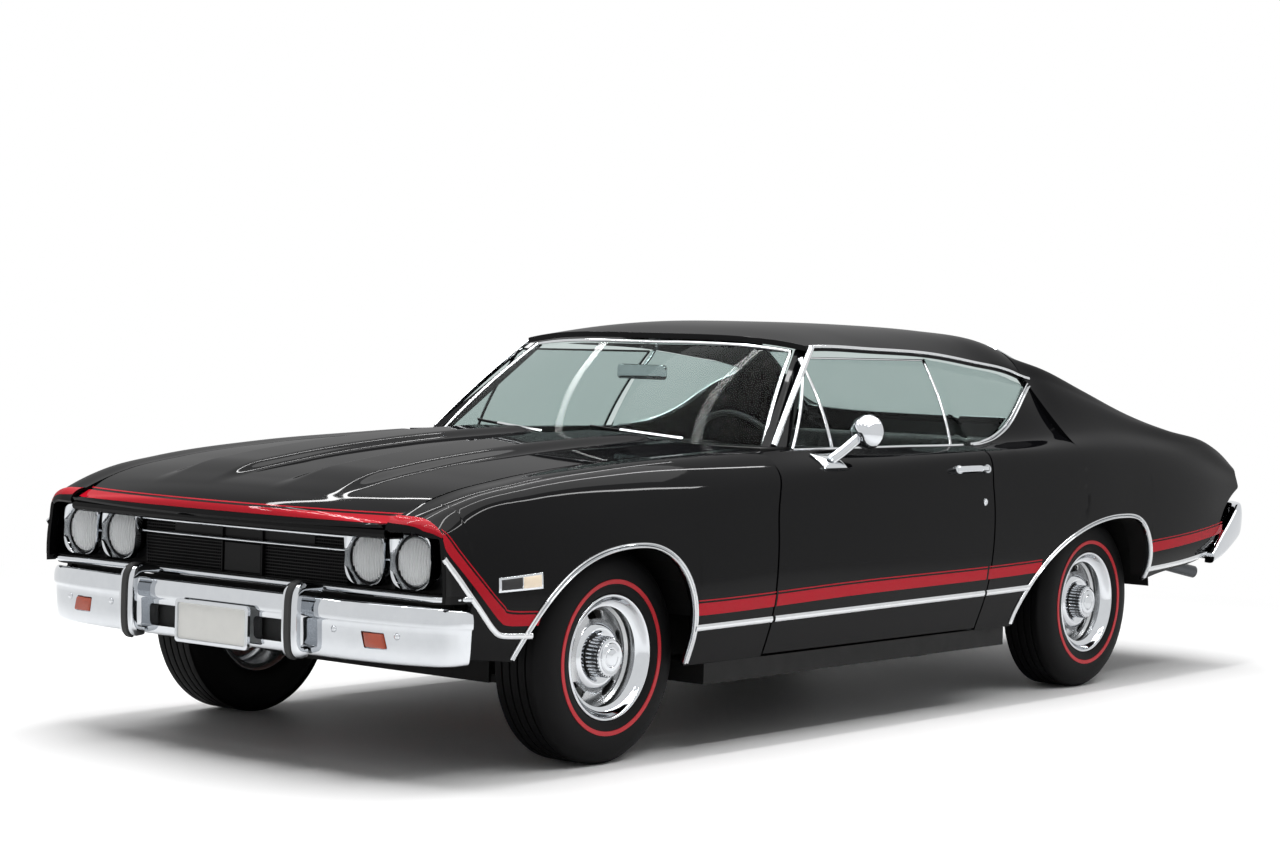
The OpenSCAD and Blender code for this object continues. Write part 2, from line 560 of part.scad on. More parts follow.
/* Cowl: the firewall, the plenum under the windshield and the two door hinge pillars. */
pillar_rear = 922;
ledge_top = 860;
firewall = [880, 895];
module cowl() {
    color("#17181a") {
        both() block(firewall, [tunnel - 15, 690], [sill_z, ledge_top - 15]);
        block(firewall, [-tunnel, tunnel], [418, ledge_top - 15]);
        block([600, firewall[1]], [-690, 690], [ledge_top - 15, ledge_top]);
        block([600, 775], [-775, 775], [ledge_top, cowl_top]);
        both() {
            block([pillar_rear, 985], [700, 860], [sill_z, 815]);
            block([firewall[0], pillar_rear + 5], [690, 715], [sill_z, 815]);
        }
    }
}

/* Floor pan: floor, tunnel, seat riser, trunk floor and the two box rockers. */
tunnel = 130;
trunk_floor = 500;
module floor_pan() {
    low = sill_z - floor_thickness;
    color("#1c1d1f") {
        both() {
            block([-640, 895], [tunnel - 15, 690], [low, sill_z]);
            block([-640, 878], [tunnel - 15, tunnel], [low, 430]);
            block([-560, 1200], [690, 896], [215, sill_z - seat_gap]);
        }
        block([-640, 878], [-tunnel, tunnel], [418, 430]);
        both() block([-655, -640], [tunnel - 15, 600], [low, trunk_floor]);
        block([-655, -640], [-tunnel, tunnel], [418, trunk_floor]);
        block([-2400, -640], [-600, 600], [trunk_floor, trunk_floor + floor_thickness]);
    }
}

/* Frame: box side rails with kick-ups fore and aft, cross members, bumper horns and four jacking pads. */
horn_end = 2350;
module frame() {
    color("#202123") {
        both() {
            block([-640, 1000], [590, 680], [185, sill_z - floor_thickness]);
            block([898, 1000], [380, 680], [185, 430]);
            block([898, 2200], [380, 450], [330, 430]);
            block([2140, horn_end], [385, 445], [395, 460]);
            side_plate([for (p = [[-500, 185], [-650, 185], [-950, 420], [-2390, 430], [-2390, trunk_floor],
                [-930, trunk_floor], [-660, 262], [-500, 262]]) [p[0] * kx, p[1]]], 500 * ky, 580 * ky);
            for (x = [-420, 700]) block([x, x + 100], [605, 665], [165, 186]);
        }
        block([-640, -540], [-680, 680], [185, 262]);
        block([1480, 1690], [-450, 450], [215, 332]);
        block([-1720, -1650], [-580, 580], [440, trunk_floor]);
    }
}

/* Wheelhouses: half-round liners over each wheel with an inner wall. */
// The liners keep clear of the steered or turning tyre. Columns as for the arches.
front_well = [front_axle, 275, 420, 374, 2.2, 484, 2.1];
rear_well = [rear_arch[0], 275, rear_arch[2] + 30, rear_arch[3] + 26, rear_arch[4], rear_arch[5] + 8,
    rear_arch[6]];
function grown(a, g) = [a[0], a[1], a[2] + g, a[3] + g, a[4], a[5] + g, a[6]];
function well_edge(a, g, foot) = [for (w = [0 : 12 : 180]) let (p = arch(grown(a, g), w))
    [p[0] * kx, max(p[1], foot)]];
module liner(a, y0, y1, foot) {
    outer = well_edge(a, 10, foot);
    inner = well_edge(a, 0, foot);
    side_plate(outer, y0, y0 + 10);
    side_plate(concat(outer, [for (i = [len(inner) - 1 : -1 : 0]) inner[i]]), y0, y1);
}
module wheelhouses() {
    color("#17181a") both() {
        liner(front_well, 450 * ky, 870 * ky, 424);
        liner(rear_well, 600 * ky + seat_gap, 868 * ky, 424);
    }
}

/* Tail: the flat panel between the quarters with its lamps and the bumper blade. */
tail_x = -2428;
plate_holes = 178;
module tail_panel() {
    color("#0b0b0c") difference() {
        union() {
            block([tail_x, -2400], [-620, 620], [490, 782]);
            block([tail_x, -2400], [-812, 812], [680, 782]);
            both() block([tail_x - 10, tail_x + 5], [300, 400], [570, 620]);
        }
        both() translate(fit([-2500, 0, 735]) + [0, plate_holes / 2, 0]) rotate([0, 90, 0])
            cylinder(r = 3.5, h = 200);
    }
}
module tail_lamps() {
    color("#7d1416") both() block([tail_x - 18, tail_x], [470, 800], [692, 764]);
}
// Blades: sections as depth share and height share, swept along stations.
brow_section = [[1, 0.94], [0.35, 1], [0.1, 0.88], [0, 0.64], [0.02, 0.34], [0.15, 0.24], [0.26, -0.7],
    [0.45, -1], [1, -0.94]];
round_section = [[1, 0.94], [0.3, 1], [0.06, 0.72], [0, 0.1], [0.1, -0.7], [0.4, -1], [1, -0.94]];
module blade(stations, section) {
    n = len(stations);
    m = len(section);
    // Stations: x, y, heading of the outer face in degrees, middle z, half height.
    points = [for (s = stations) for (q = section) let (back = bumper_depth * q[0])
        fit([s[0] - cos(s[2]) * back, s[1] - sin(s[2]) * back, s[3] + s[4] * q[1]])];
    faces = concat([for (i = [0 : n - 2]) for (j = [0 : m - 1]) let (k = (j + 1) % m)
        for (f = [[i * m + j, i * m + k, i * m + m + k], [i * m + j, i * m + m + k, i * m + m + j]]) f],
        [for (j = [1 : m - 2]) [0, j + 1, j]],
        [for (j = [1 : m - 2]) let (b = (n - 1) * m) [b, b + j, b + j + 1]]);
    polyhedron(points, faces, convexity = 6);
}
function mirrored(half) = concat([for (i = [len(half) - 1 : -1 : 1]) let (s = half[i])
    [s[0], -s[1], -s[2], s[3], s[4]]], half);
half_bumper = bumper_height / 2;
front_blade = mirrored([[2392, 0, 0, 428, half_bumper], [2392, 450, 0, 428, half_bumper],
    [2386, 560, 5, 428, half_bumper], [2368, 690, 12, 428, half_bumper],
    [2338, 800, 24, 428, half_bumper - 1], [2300, 868, 42, 428, half_bumper - 3],
    [2250, 908, 66, 426, half_bumper - 8], [2185, 924, 82, 420, half_bumper - 20],
    [2130, 928, 88, 415, half_bumper - 34]]);
opening = [150, 300, 372, 440];
turn_lamp = [585, 662, 384, 430];
lamp_floor = 2352;
guard_face = 2380;
guard_y = 350;
module front_bumper() {
    color("#d5d7d9") difference() {
        blade(front_blade, brow_section);
        both() {
            block([2300, 2500], [opening[0], opening[1]], [opening[2], opening[3]]);
            block([lamp_floor, 2500], [turn_lamp[0], turn_lamp[1]], [turn_lamp[2], turn_lamp[3]]);
            translate([fit([guard_face, 0, 0]).x, guard_y * ky - guard_width / 2 - 1, 300])
                cube([100, guard_width + 2, 300]);
        }
        block([guard_face, 2500], [-60, 60], [390, 440]);
    }
}
module bumper_guards() {
    x = fit([guard_face, 0, 0]).x;
    outline = [[0, 340], [30, 338], [54, 366], [60, 400], [60, 500], [50, 532], [24, 547], [0, 548]];
    color("#d5d7d9") both() side_plate([for (p = outline) [x + p[0], p[1]]],
        guard_y * ky - guard_width / 2, guard_y * ky + guard_width / 2);
}
module turn_lamps() {
    color("#d98a2b") both() block([lamp_floor, 2374], [turn_lamp[0] + 1, turn_lamp[1] - 1],
        [turn_lamp[2] + 1, turn_lamp[3] - 1]);
}
module number_plate() {
    color("#e8e8e6") {
        x = fit([2404, 0, 0]).x;
        block([guard_face, 2405], [-50, 50], [395, 435]);
        translate([x, -plate_width / 2, 401 - plate_height / 2]) cube([7, plate_width, plate_height]);
    }
}
rear_blade = [for (s = mirrored([[2480, 0, 0, 598, 70], [2480, 520, 0, 598, 70], [2472, 650, 6, 598, 70],
    [2452, 770, 16, 600, 70], [2420, 850, 36, 603, 66], [2365, 893, 68, 596, 62], [2290, 905, 84, 556, 56],
    [2210, 912, 88, 505, 42], [2140, 914, 90, 462, 20]])) [-s[0], -s[1], s[2] + 180, s[3], s[4]]];
module rear_bumper() {
    color("#d5d7d9") blade(rear_blade, round_section);
}

/* Nose: the lamp panel with the radiator behind it, the slatted grille, squared bezels and round lamps. */
panel_face = 2250;
module nose_support() {
    color("#141516") {
        block([panel_face - 14, panel_face], [-800, 800], [460, 706]);
        block([2150, panel_face - 14], [-330, 330], [470, 730]);
    }
}
// Bars of the grille. Columns: middle z, half height, front x.
grille_bars = [[546, 3, 2288], [568, 3, 2288], [590, 3, 2288], [612, 3, 2288], [644, 7, 2304], [664, 3, 2288],
    [684, 7, 2304]];
grille_half = 436;
module grille() {
    color("#101112") {
        block([panel_face, 2258], [-grille_half, grille_half], [534, 702]);
        for (b = grille_bars) block([2257, b[2]], [-grille_half, grille_half], [b[0] - b[1], b[0] + b[1]]);
        for (i = [-7 : 7]) block([2257, 2284], [i * 60 - 3, i * 60 + 3], [534, 702]);
    }
}
// Lamps. Columns: y, z.
lamp_spots = [[528, 630], [708, 630]];
bezel_half = 86;
module lamp_bezels() {
    color("#c9cbcd") both() for (l = lamp_spots) difference() {
        block([panel_face, 2318], [l[0] - bezel_half, l[0] + bezel_half], [550, 710]);
        translate(fit([panel_face - 5, l[0], l[1]])) rotate([0, 90, 0])
            cylinder(r = lamp_radius + 2, h = 200);
    }
}
module headlamps() {
    color("#e4ecef") both() for (l = lamp_spots) translate(fit([panel_face, l[0], l[1]])) rotate([0, 90, 0])
        rotate_extrude() polygon([[0, 0], [lamp_radius, 0], [lamp_radius, 42], [lamp_radius * 0.8, 53],
            [lamp_radius * 0.45, 60], [0, 62]]);
}

/* Cabin: dashboard, column, seats and inside mirror. */
dash_rear = 470;
module dashboard() {
    color("#151515") side_plate([for (p = [[600, 660], [600, 902], [560, 906], [500, 896], [dash_rear, 870],
        [dash_rear, 700], [500, 660]]) [p[0] * kx, p[1]]], -768 * ky, 768 * ky);
}
column_at = [330, 370, 850];
column_rake = 25;
shaft_radius = 9;
module at_column() {
    translate(fit(column_at)) rotate([0, column_rake - 90, 0]) children();
}
module steering_column() {
    color("#151515") difference() {
        at_column() {
            translate([0, 0, -230]) cylinder(r = 28, h = 208);
            translate([0, 0, -40]) cylinder(r = shaft_radius, h = 48);
        }
        block([dash_rear, 900], [200, 500], [400, 920]);
    }
}
module steering_wheel() {
    color("#111111") at_column() {
        rotate_extrude() translate([wheel_rim_radius, 0]) circle(r = wheel_rim_section);
        difference() {
            union() {
                translate([0, 0, -14]) cylinder(r = 32, h = 30);
                translate([-13, -wheel_rim_radius, -4]) cube([26, 2 * wheel_rim_radius, 8]);
            }
            translate([0, 0, -20]) cylinder(r = shaft_radius + run_clearance, h = 29);
        }
    }
}
seat_y = 402;
module front_seats() {
    base = sill_z;
    color("#141414") both() {
        side_plate([for (p = [[345, 318], [385, 480], [352, 545], [250, 556], [-70, 526], [-188, 880],
            [-210, 912], [-250, 920], [-188 - seat_back, 895], [-70 - seat_back, 480],
            [-60 - seat_back, 318]])
            [p[0] * kx, p[1]]],
            seat_y * ky - seat_width / 2, seat_y * ky + seat_width / 2);
        block([-150, 320], [seat_y - 180, seat_y + 180], [base, 320]);
    }
}
module rear_seat() {
    low = trunk_floor + floor_thickness;
    outline = [[-640, low], [-590, 560], [-596, 610], [-640, 636], [-960, 600], [-1080, 910], [-1110, 940],
        [-1150, 946], [-1090 - seat_back, 900], [-1060 - seat_back, low]];
    color("#141414") side_plate([for (p = outline) [p[0] * kx, p[1]]], -590 * ky, 590 * ky);
}
module inside_mirror() {
    stem = fit([0, 0, top_z(338, 0)]).z - lid_thickness - 3 * seat_gap;
    color("#2a2b2d") {
        block([420, 438], [-105, 105], [1130, 1180]);
        block([334, 430], [-5, 5], [1160, 1168]);
        translate([fit([334, 0, 0]).x, -5, fit([0, 0, 1160]).z]) cube([10, 10, stem - fit([0, 0, 1160]).z]);
    }
}

/* Running gear: engine with gearbox and shaft, front arms, knuckles, rear axle, exhaust and tank. */
gearbox_z = 334;
module engine() {
    color("#8a3b22") {
        block([1180, 1840], [-120, 120], [332, 600]);
        both() {
            block([1200, 1820], [60, 290], [520, 760]);
            block([1500, 1660], [100, 300], [332, 380]);
        }
        block([1300, 1720], [-90, 90], [590, 810]);
        translate([1500 * kx, 0, 800]) cylinder(r = 190, h = 60);
        translate([1190 * kx, 0, 400]) rotate([0, -90, 0]) cylinder(r1 = 160, r2 = 110, h = 285 * kx);
        translate([940 * kx, 0, gearbox_z]) rotate([0, -90, 0]) cylinder(r = 76, h = 500 * kx);
    }
}
arm_low = 216;
arm_high = 394;
arm_thick = 24;
ball_radius = 14;
module control_arm(root_y, spread) {
    x = axle_f;
    difference() {
        union() {
            linear_extrude(arm_thick) polygon([[x - 28, king_y], [x + 28, king_y], [x + spread, root_y],
                [x - spread, root_y]]);
            translate([x, king_y, 0]) cylinder(r = 30, h = arm_thick);
        }
        translate([x, king_y, -1]) cylinder(r = ball_radius + run_clearance, h = arm_thick + 2);
    }
}
module front_suspension() {
    color("#2b2c2e") both() {
        translate([0, 0, arm_low]) control_arm(450 * ky, 95);
        translate([0, 0, arm_high]) control_arm(450 * ky, 80);
    }
}
module knuckle() {
    color("#55575a") {
        translate([axle_f, king_y, arm_low]) cylinder(r = ball_radius, h = arm_thick + 8);
        translate([axle_f, king_y, arm_high - 8]) cylinder(r = ball_radius, h = arm_thick + 8);
        translate([axle_f - 24, king_y - 22, arm_low + arm_thick + 6])
            cube([48, 50, arm_high - arm_low - arm_thick - 12]);
        translate([axle_f - 150, king_y - 16, arm_low + arm_thick + 12]) cube([150, 32, 22]);
        translate([axle_f, 0, tyre_radius]) {
            cross_rod(62, king_y + 20, king_y + 36);
            cross_rod(spindle_radius, king_y + 20, wheel_y + 38);
        }
    }
}
module knuckle_left() {
    knuckle();
}
module knuckle_right() {
    mirror([0, 1, 0]) knuckle();
}
module rear_axle() {
    color("#2b2c2e") translate([axle_r, 0, 0]) {
        translate([0, 0, tyre_radius]) {
            cross_rod(axle_tube_radius, -wheel_y + 95, wheel_y - 95);
            sphere(r = 125);
            rotate([0, 90, 0]) cylinder(r = 60, h = 260);
            both() {
                cross_rod(118, wheel_y - 100, wheel_y - 48);
                cross_rod(spindle_radius, wheel_y - 60, wheel_y + 38);
            }
        }
        both() translate([0, 540 * ky, tyre_radius + axle_tube_radius - 20])
            cylinder(r = 50, h = 441.4 - tyre_radius - axle_tube_radius);
        translate([260, 0, tyre_radius]) rotate([0, 90, 0])
            cylinder(r = 36, h = 440 * kx - axle_r - 260 - 10);
    }
}
module exhaust() {
    color("#8f9194") both() {
        translate([620 * kx, 330, 232]) rotate([0, -90, 0]) cylinder(r = pipe_radius, h = 1130 * kx);
        block([-480, 100], [290, 400], [182, 264.6]);
    }
}
module fuel_tank() {
    color("#4a4c4f") block([-2260, -1790], [-420, 420], [300, trunk_floor - seat_gap]);
}

/* Wheels: a slotted disc in a deep rim with a trim ring and a fluted cap, and a tyre on its bead. */
disc_face = 34;
module wheel_rim() {
    color("#b9bcbf") rotate([-90, 0, 0]) {
        difference() {
            union() {
                // Columns: radius, distance outward of the wheel's middle.
                rotate_extrude() polygon([[ring_radius - 3, -88], [ring_radius - 3, -80],
                    [bead_radius - 0.4, -74], [bead_radius - 0.4, 74], [ring_radius - 2, 80],
                    [ring_radius, 86], [ring_radius - 14, 91], [bead_radius - 20, 70], [bead_radius - 12, 50],
                    [bead_radius - 12, -80], [bead_radius - 12, -88]]);
                translate([0, 0, disc_face - 9]) cylinder(r = bead_radius - 11, h = 9);
                translate([0, 0, -28]) cylinder(r = 62, h = disc_face + 28);
                translate([0, 0, disc_face - 1]) cylinder(r1 = 78, r2 = 68, h = 12);
                translate([0, 0, disc_face + 8]) linear_extrude(38)
                    polygon([for (i = [0 : 2 * cap_flutes - 1]) let (a = i * 180 / cap_flutes,
                        r = i % 2 == 0 ? 60 : 53) [r * cos(a), r * sin(a)]]);
                translate([0, 0, disc_face + 45]) cylinder(r1 = 58, r2 = 30, h = 10);
            }
            for (i = [0 : wheel_slots - 1])
                rotate(i * 360 / wheel_slots + 90) translate([126, 0, disc_face - 20]) linear_extrude(30) {
                    square([30, 40], center = true);
                    for (s = [-1, 1]) translate([0, 20 * s]) circle(r = 15);
                }
            translate([0, 0, -40]) cylinder(r = spindle_radius + run_clearance, h = 82);
        }
    }
}
module wheel_tyre() {
    half = tyre_width / 2;
    side = [[bead_radius + 2, half - 27], [bead_radius + 24, half - 4],
        [mix(bead_radius, tyre_radius, 0.55), half], [tyre_radius - 20, half - 12], [tyre_radius, half - 38]];
    color("#161616") rotate([-90, 0, 0]) rotate_extrude() polygon(concat([for (p = side) p],
        [for (i = [len(side) - 1 : -1 : 0]) [side[i][0], -side[i][1]]]));
}
module place(x, left) {
    if (left) translate([x, wheel_y, tyre_radius]) children();
    else mirror([0, 1, 0]) translate([x, wheel_y, tyre_radius]) children();
}
module rim_front_left() {
    place(axle_f, true) wheel_rim();
}
module rim_front_right() {
    place(axle_f, false) wheel_rim();
}
module rim_rear_left() {
    place(axle_r, true) wheel_rim();
}
module rim_rear_right() {
    place(axle_r, false) wheel_rim();
}
module tyre_front_left() {
    place(axle_f, true) wheel_tyre();
}
module tyre_front_right() {
    place(axle_f, false) wheel_tyre();
}
module tyre_rear_left() {
    place(axle_r, true) wheel_tyre();
}
module tyre_rear_right() {
    place(axle_r, false) wheel_tyre();
}

$fn = 64;
frame();
floor_pan();
front_fenders();
wheelhouses();
cowl();
quarter_panels();
roof();
deck_panel();
tail_panel();
nose_support();
grille();
lamp_bezels();
headlamps();
front_bumper();
bumper_guards();
turn_lamps();
number_plate();
rear_bumper();
tail_lamps();
windshield();
rear_window();
quarter_windows();
dashboard();
steering_column();
front_seats();
rear_seat();
inside_mirror();
engine();
front_suspension();
rear_axle();
exhaust();
fuel_tank();
hinge_brackets();
door_left();
door_left_glass();
door_left_hinges();
door_right();
door_right_glass();
door_right_hinges();
hood();
hood_hinges();
trunk_lid();
trunk_hinges();
knuckle_left();
knuckle_right();
rim_front_left();
tyre_front_left();
rim_front_right();
tyre_front_right();
rim_rear_left();
tyre_rear_left();
rim_rear_right();
tyre_rear_right();
steering_wheel();
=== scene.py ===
import math

import bmesh
import bpy
import numpy as np
from mathutils import Matrix


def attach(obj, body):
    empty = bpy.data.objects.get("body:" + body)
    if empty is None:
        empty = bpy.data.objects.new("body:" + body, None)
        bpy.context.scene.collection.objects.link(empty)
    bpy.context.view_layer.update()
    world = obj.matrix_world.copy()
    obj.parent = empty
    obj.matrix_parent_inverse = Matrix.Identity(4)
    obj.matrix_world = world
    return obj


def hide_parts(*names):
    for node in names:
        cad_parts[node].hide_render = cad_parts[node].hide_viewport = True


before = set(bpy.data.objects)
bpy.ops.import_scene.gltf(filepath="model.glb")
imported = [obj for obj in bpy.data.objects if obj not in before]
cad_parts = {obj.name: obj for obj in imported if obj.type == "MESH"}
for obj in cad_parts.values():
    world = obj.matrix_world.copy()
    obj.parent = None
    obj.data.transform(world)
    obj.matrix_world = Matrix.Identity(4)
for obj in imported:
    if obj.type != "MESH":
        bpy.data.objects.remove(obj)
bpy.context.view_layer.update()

# Frame, floor and wheelhouses: pressed and welded steel, dipped in satin black chassis paint.
# Road dust has dulled it in patches; the floor is bolted down on the side rails.
CREASE = 35


def linear(code):
    """An sRGB hex colour as linear values with full alpha."""
    share = [int(code[i : i + 2], 16) / 255 for i in (1, 3, 5)]
    return [c / 12.92 if c <= 0.04045 else ((c + 0.055) / 1.055) ** 2.4 for c in share] + [1]


def add(tree, kind, settings=None, links=None):
    """A shader node with its settings and its incoming links."""
    made = tree.nodes.new("ShaderNode" + kind)
    for key, value in (settings or {}).items():
        if isinstance(key, str) and key not in made.inputs:
            setattr(made, key, value)
        else:
            made.inputs[key].default_value = value
    for key, socket in (links or {}).items():
        tree.links.new(socket, made.inputs[key])
    return made


def material(name, tones, grain_mm, rough, relief_mm=0.0, **settings):
    """Two tones, a roughness range and a relief that follow one noise of the given grain."""
    made = bpy.data.materials.new(name)
    made.use_nodes = True
    tree = made.node_tree
    tree.nodes.clear()
    place = add(tree, "TexCoord")
    grain = {"Scale": 1000 / grain_mm, "Detail": 3}
    noise = add(tree, "TexNoise", grain, {"Vector": place.outputs["Object"]})
    pair = {"data_type": "RGBA", 6: linear(tones[0]), 7: linear(tones[1])}
    tone = add(tree, "Mix", pair, {0: noise.outputs[0]})
    gloss = add(tree, "MapRange", {"To Min": rough[0], "To Max": rough[1]}, {"Value": noise.outputs[0]})
    links = {"Base Color": tone.outputs[2], "Roughness": gloss.outputs[0]}
    if relief_mm:
        relief = add(tree, "Bump", {"Distance": relief_mm / 1000}, {"Height": noise.outputs[0]})
        links["Normal"] = relief.outputs[0]
    shader = add(tree, "BsdfPrincipled", settings, links)
    add(tree, "OutputMaterial", {}, {"Surface": shader.outputs[0]})
    return made


def dress(slot, finish, *names):
    """Gives carried-over nodes of the frame a finish; its slot is not used."""
    for name in names:
        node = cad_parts[name]
        node.data.materials.clear()
        node.data.materials.append(finish)
        node.data.shade_smooth()
        node.data.set_sharp_from_angle(angle=math.radians(CREASE))


# Satin black reads as a soft dark grey with no clear reflection.
chassis_black = material("satin_chassis_black", ("#060606", "#0b0b0b"), 60, (0.5, 0.7), 0.2,
                         **{"Specular IOR Level": 0.2})
dress("underbody", chassis_black, "frame", "floor_pan", "wheelhouses", "cowl", "nose_support")

# Running gear: cast iron engine enamelled orange, forged arms and axle, pressed tank, aluminised exhaust.
# They hang in the frame on rubber bushes; hinges and knuckles are bare forgings, wiped with oil.
# Brushed-on enamel: a warm satin orange, a little uneven.
engine_orange = material("engine_enamel", ("#8e3a1c", "#a2472a"), 80, (0.35, 0.55), 0.3)
# Oiled steel: dark grey with a blurred shine.
bare_steel = material("oiled_steel", ("#35373a", "#4a4c4f"), 25, (0.35, 0.6), 0.1, Metallic=0.7)
# Aluminised tube: a dull silver, browned by heat.
pipe_steel = material("aluminised_pipe", ("#45474a", "#5c5e61"), 40, (0.3, 0.5), 0.1, Metallic=0.9)
dress("engine_paint", engine_orange, "engine")
dress("underbody", chassis_black, "front_suspension", "rear_axle", "fuel_tank")
dress("bare_steel", bare_steel, "knuckle_left", "knuckle_right", "hinge_brackets")
dress("bare_steel", bare_steel, "door_left_hinges", "door_right_hinges", "hood_hinges", "trunk_hinges")
dress("bare_steel", pipe_steel, "exhaust")

# Front fenders: one steel pressing a side, from the door's cut over the wheel to the lamps.
# The side is drawn through seven feature lines from the sill up to the hood gap; gloss black enamel.
# Columns of a feature line: x, y, z.
SILL = [(-2330, 868, 505), (-2060, 890, 452), (-1560, 912, 396), (-1300, 915, 330), (-1000, 910, 280),
        (-560, 905, 280), (900, 897, 280), (1240, 894, 280), (1310, 893, 280.5), (2050, 862, 345),
        (2300, 815, 372)]
LOW = [(-2330, 886, 545), (-2060, 908, 495), (-1530, 938, 447), (-560, 944, 425), (900, 940, 412),
       (1310, 937, 408), (2050, 893, 428), (2300, 842, 450)]
WIDE = [(-2440, 866, 660), (-2060, 924, 640), (-1300, 958, 612), (-560, 961, 600), (400, 960, 595),
        (1310, 952, 590), (1750, 938, 592), (2050, 908, 590), (2310, 856, 580)]
UPPER = [(-2440, 860, 735), (-2060, 912, 770), (-1300, 946, 790), (-360, 945, 780), (400, 943, 755),
         (1310, 931, 720), (1750, 915, 705), (2050, 886, 690), (2320, 846, 660)]
SHOULDER = [(-2440, 848, 775), (-2060, 882, 850), (-1300, 914, 903), (-700, 914, 905), (-228, 912, 893),
            (387, 911, 866), (889, 905, 842), (1447, 895, 800), (1994, 866, 758), (2330, 835, 712)]
BELT = [(-2440, 840, 800), (-2200, 858, 880), (-2060, 863, 896), (-1600, 842, 955), (-1300, 832, 975),
        (-985, 826, 960), (-700, 815, 938), (-435, 808, 927), (0, 806, 926), (400, 808, 924.6),
        (800, 812, 921), (1031, 820, 909), (1506, 822, 883), (1945, 815, 840), (2152, 806, 805),
        (2252, 799, 775), (2345, 790, 740)]
GAP = [(780, 690, 929), (1031, 690, 918), (1506, 690, 893), (1945, 688, 850), (2152, 685, 816),
       (2252, 680, 788), (2400, 668, 735)]
FRONT = (SILL, LOW, WIDE, UPPER, SHOULDER, BELT, GAP)
SKIN = 14
HANDS = ((False, "left"), (True, "right"))


def curve(table, s):
    """A smooth line through the rows of a table, read at s in its first column."""
    rows = np.asarray(table, float)
    k, v = rows[:, 0], rows[:, 1:]
    s = np.clip(np.asarray(s, float), k[0], k[-1])
    h = np.diff(k)
    d = np.diff(v, axis=0) / h[:, None]
    inside = (d[:-1] * h[1:, None] + d[1:] * h[:-1, None]) / (h[:-1] + h[1:])[:, None]
    m = np.vstack([d[:1], inside, d[-1:]])
    i = np.clip(np.searchsorted(k, s, side="right") - 1, 0, len(k) - 2)
    step = h[i][..., None]
    u = (s[..., None] - k[i][..., None]) / step
    ends = v[i] * (1 + u * u * (2 * u - 3)) + v[i + 1] * u * u * (3 - 2 * u)
    return ends + m[i] * step * u * (1 - u) ** 2 - m[i + 1] * step * u * u * (1 - u)


def ribs(lines, x):
    """Cross-sections at x: the points of all feature lines there."""
    return np.stack([curve(line, x) for line in lines])


def up_rib(c, t):
    """The point t lines up a cross-section."""
    a = np.linalg.norm(np.diff(c, axis=0), axis=-1, keepdims=True)
    d = np.diff(c, axis=0) / a
    m = np.concatenate([d[:1], (d[:-1] * a[1:] + d[1:] * a[:-1]) / (a[:-1] + a[1:]), d[-1:]])
    i = np.clip(np.floor(t).astype(int), 0, len(c) - 2)[None, ..., None]
    u = t[..., None] - i[0]
    p, q = np.take_along_axis(c, i, 0)[0], np.take_along_axis(c, i + 1, 0)[0]
    mp, mq = np.take_along_axis(m, i, 0)[0], np.take_along_axis(m, i + 1, 0)[0]
    step = np.take_along_axis(a, i, 0)[0]
    return (p * (1 + u * u * (2 * u - 3)) + q * u * u * (3 - 2 * u)
            + mp * step * u * (1 - u) ** 2 - mq * step * u * u * (1 - u))


def lift(c, z, top=5.0):
    """How many lines up a cross-section the height z lies, by halving."""
    lo, hi = np.zeros_like(z), np.full_like(z, top)
    for _ in range(24):
        mid = (lo + hi) / 2
        below = up_rib(c, mid)[..., 1] < z
        lo, hi = np.where(below, mid, lo), np.where(below, hi, mid)
    return (lo + hi) / 2


def side(lines, x, t, out=0.0):
    """Points of the left side at x, t lines up, moved out along the surface."""
    x, t = np.broadcast_arrays(np.asarray(x, float), np.asarray(t, float))
    c = ribs(lines, x)
    p = up_rib(c, t)
    d = up_rib(c, np.minimum(t + 0.02, len(c) - 1)) - up_rib(c, np.maximum(t - 0.02, 0))
    n = np.stack([d[..., 1], -d[..., 0]], -1) / np.linalg.norm(d, axis=-1, keepdims=True)
    p = p + n * np.asarray(out)[..., None]
    return np.concatenate([x[..., None], p], -1)


def quads(n, m, start=0, closed=False):
    """Faces of a grid of n rows of m points, its rows closed to rings if wanted."""
    faces = []
    for i in range(n - 1):
        a, b = start + i * m, start + (i + 1) * m
        faces += [(a + j, a + (j + 1) % m, b + (j + 1) % m, b + j) for j in range(m if closed else m - 1)]
    return faces


def piece(name, points, faces, finish, body, slot, replaced=(), edge_mm=0.0, sharp=CREASE, mirror=False):
    """A mesh in mm on a body, with its finish and the nodes it stands for; its slot is not used."""
    data = bpy.data.meshes.new(name)
    spots = np.asarray(points, float).reshape(-1, 3) / 1000
    if mirror:
        spots = spots * (1, -1, 1)
    data.from_pydata(spots.tolist(), [], faces)
    work = bmesh.new()
    work.from_mesh(data)
    bmesh.ops.recalc_face_normals(work, faces=work.faces)
    work.to_mesh(data)
    work.free()
    data.shade_smooth()
    data.set_sharp_from_angle(angle=math.radians(sharp))
    made = bpy.data.objects.new(name, data)
    bpy.context.scene.collection.objects.link(made)
    data.materials.append(finish)
    if edge_mm:
        turn = made.modifiers.new("rolled_edge", "BEVEL")
        turn.width = edge_mm / 1000
        turn.segments = 2
        turn.limit_method = "ANGLE"
        turn.angle_limit = math.radians(50)
        turn.harden_normals = True
    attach(made, body)
    if replaced:
        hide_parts(*replaced)
    return made


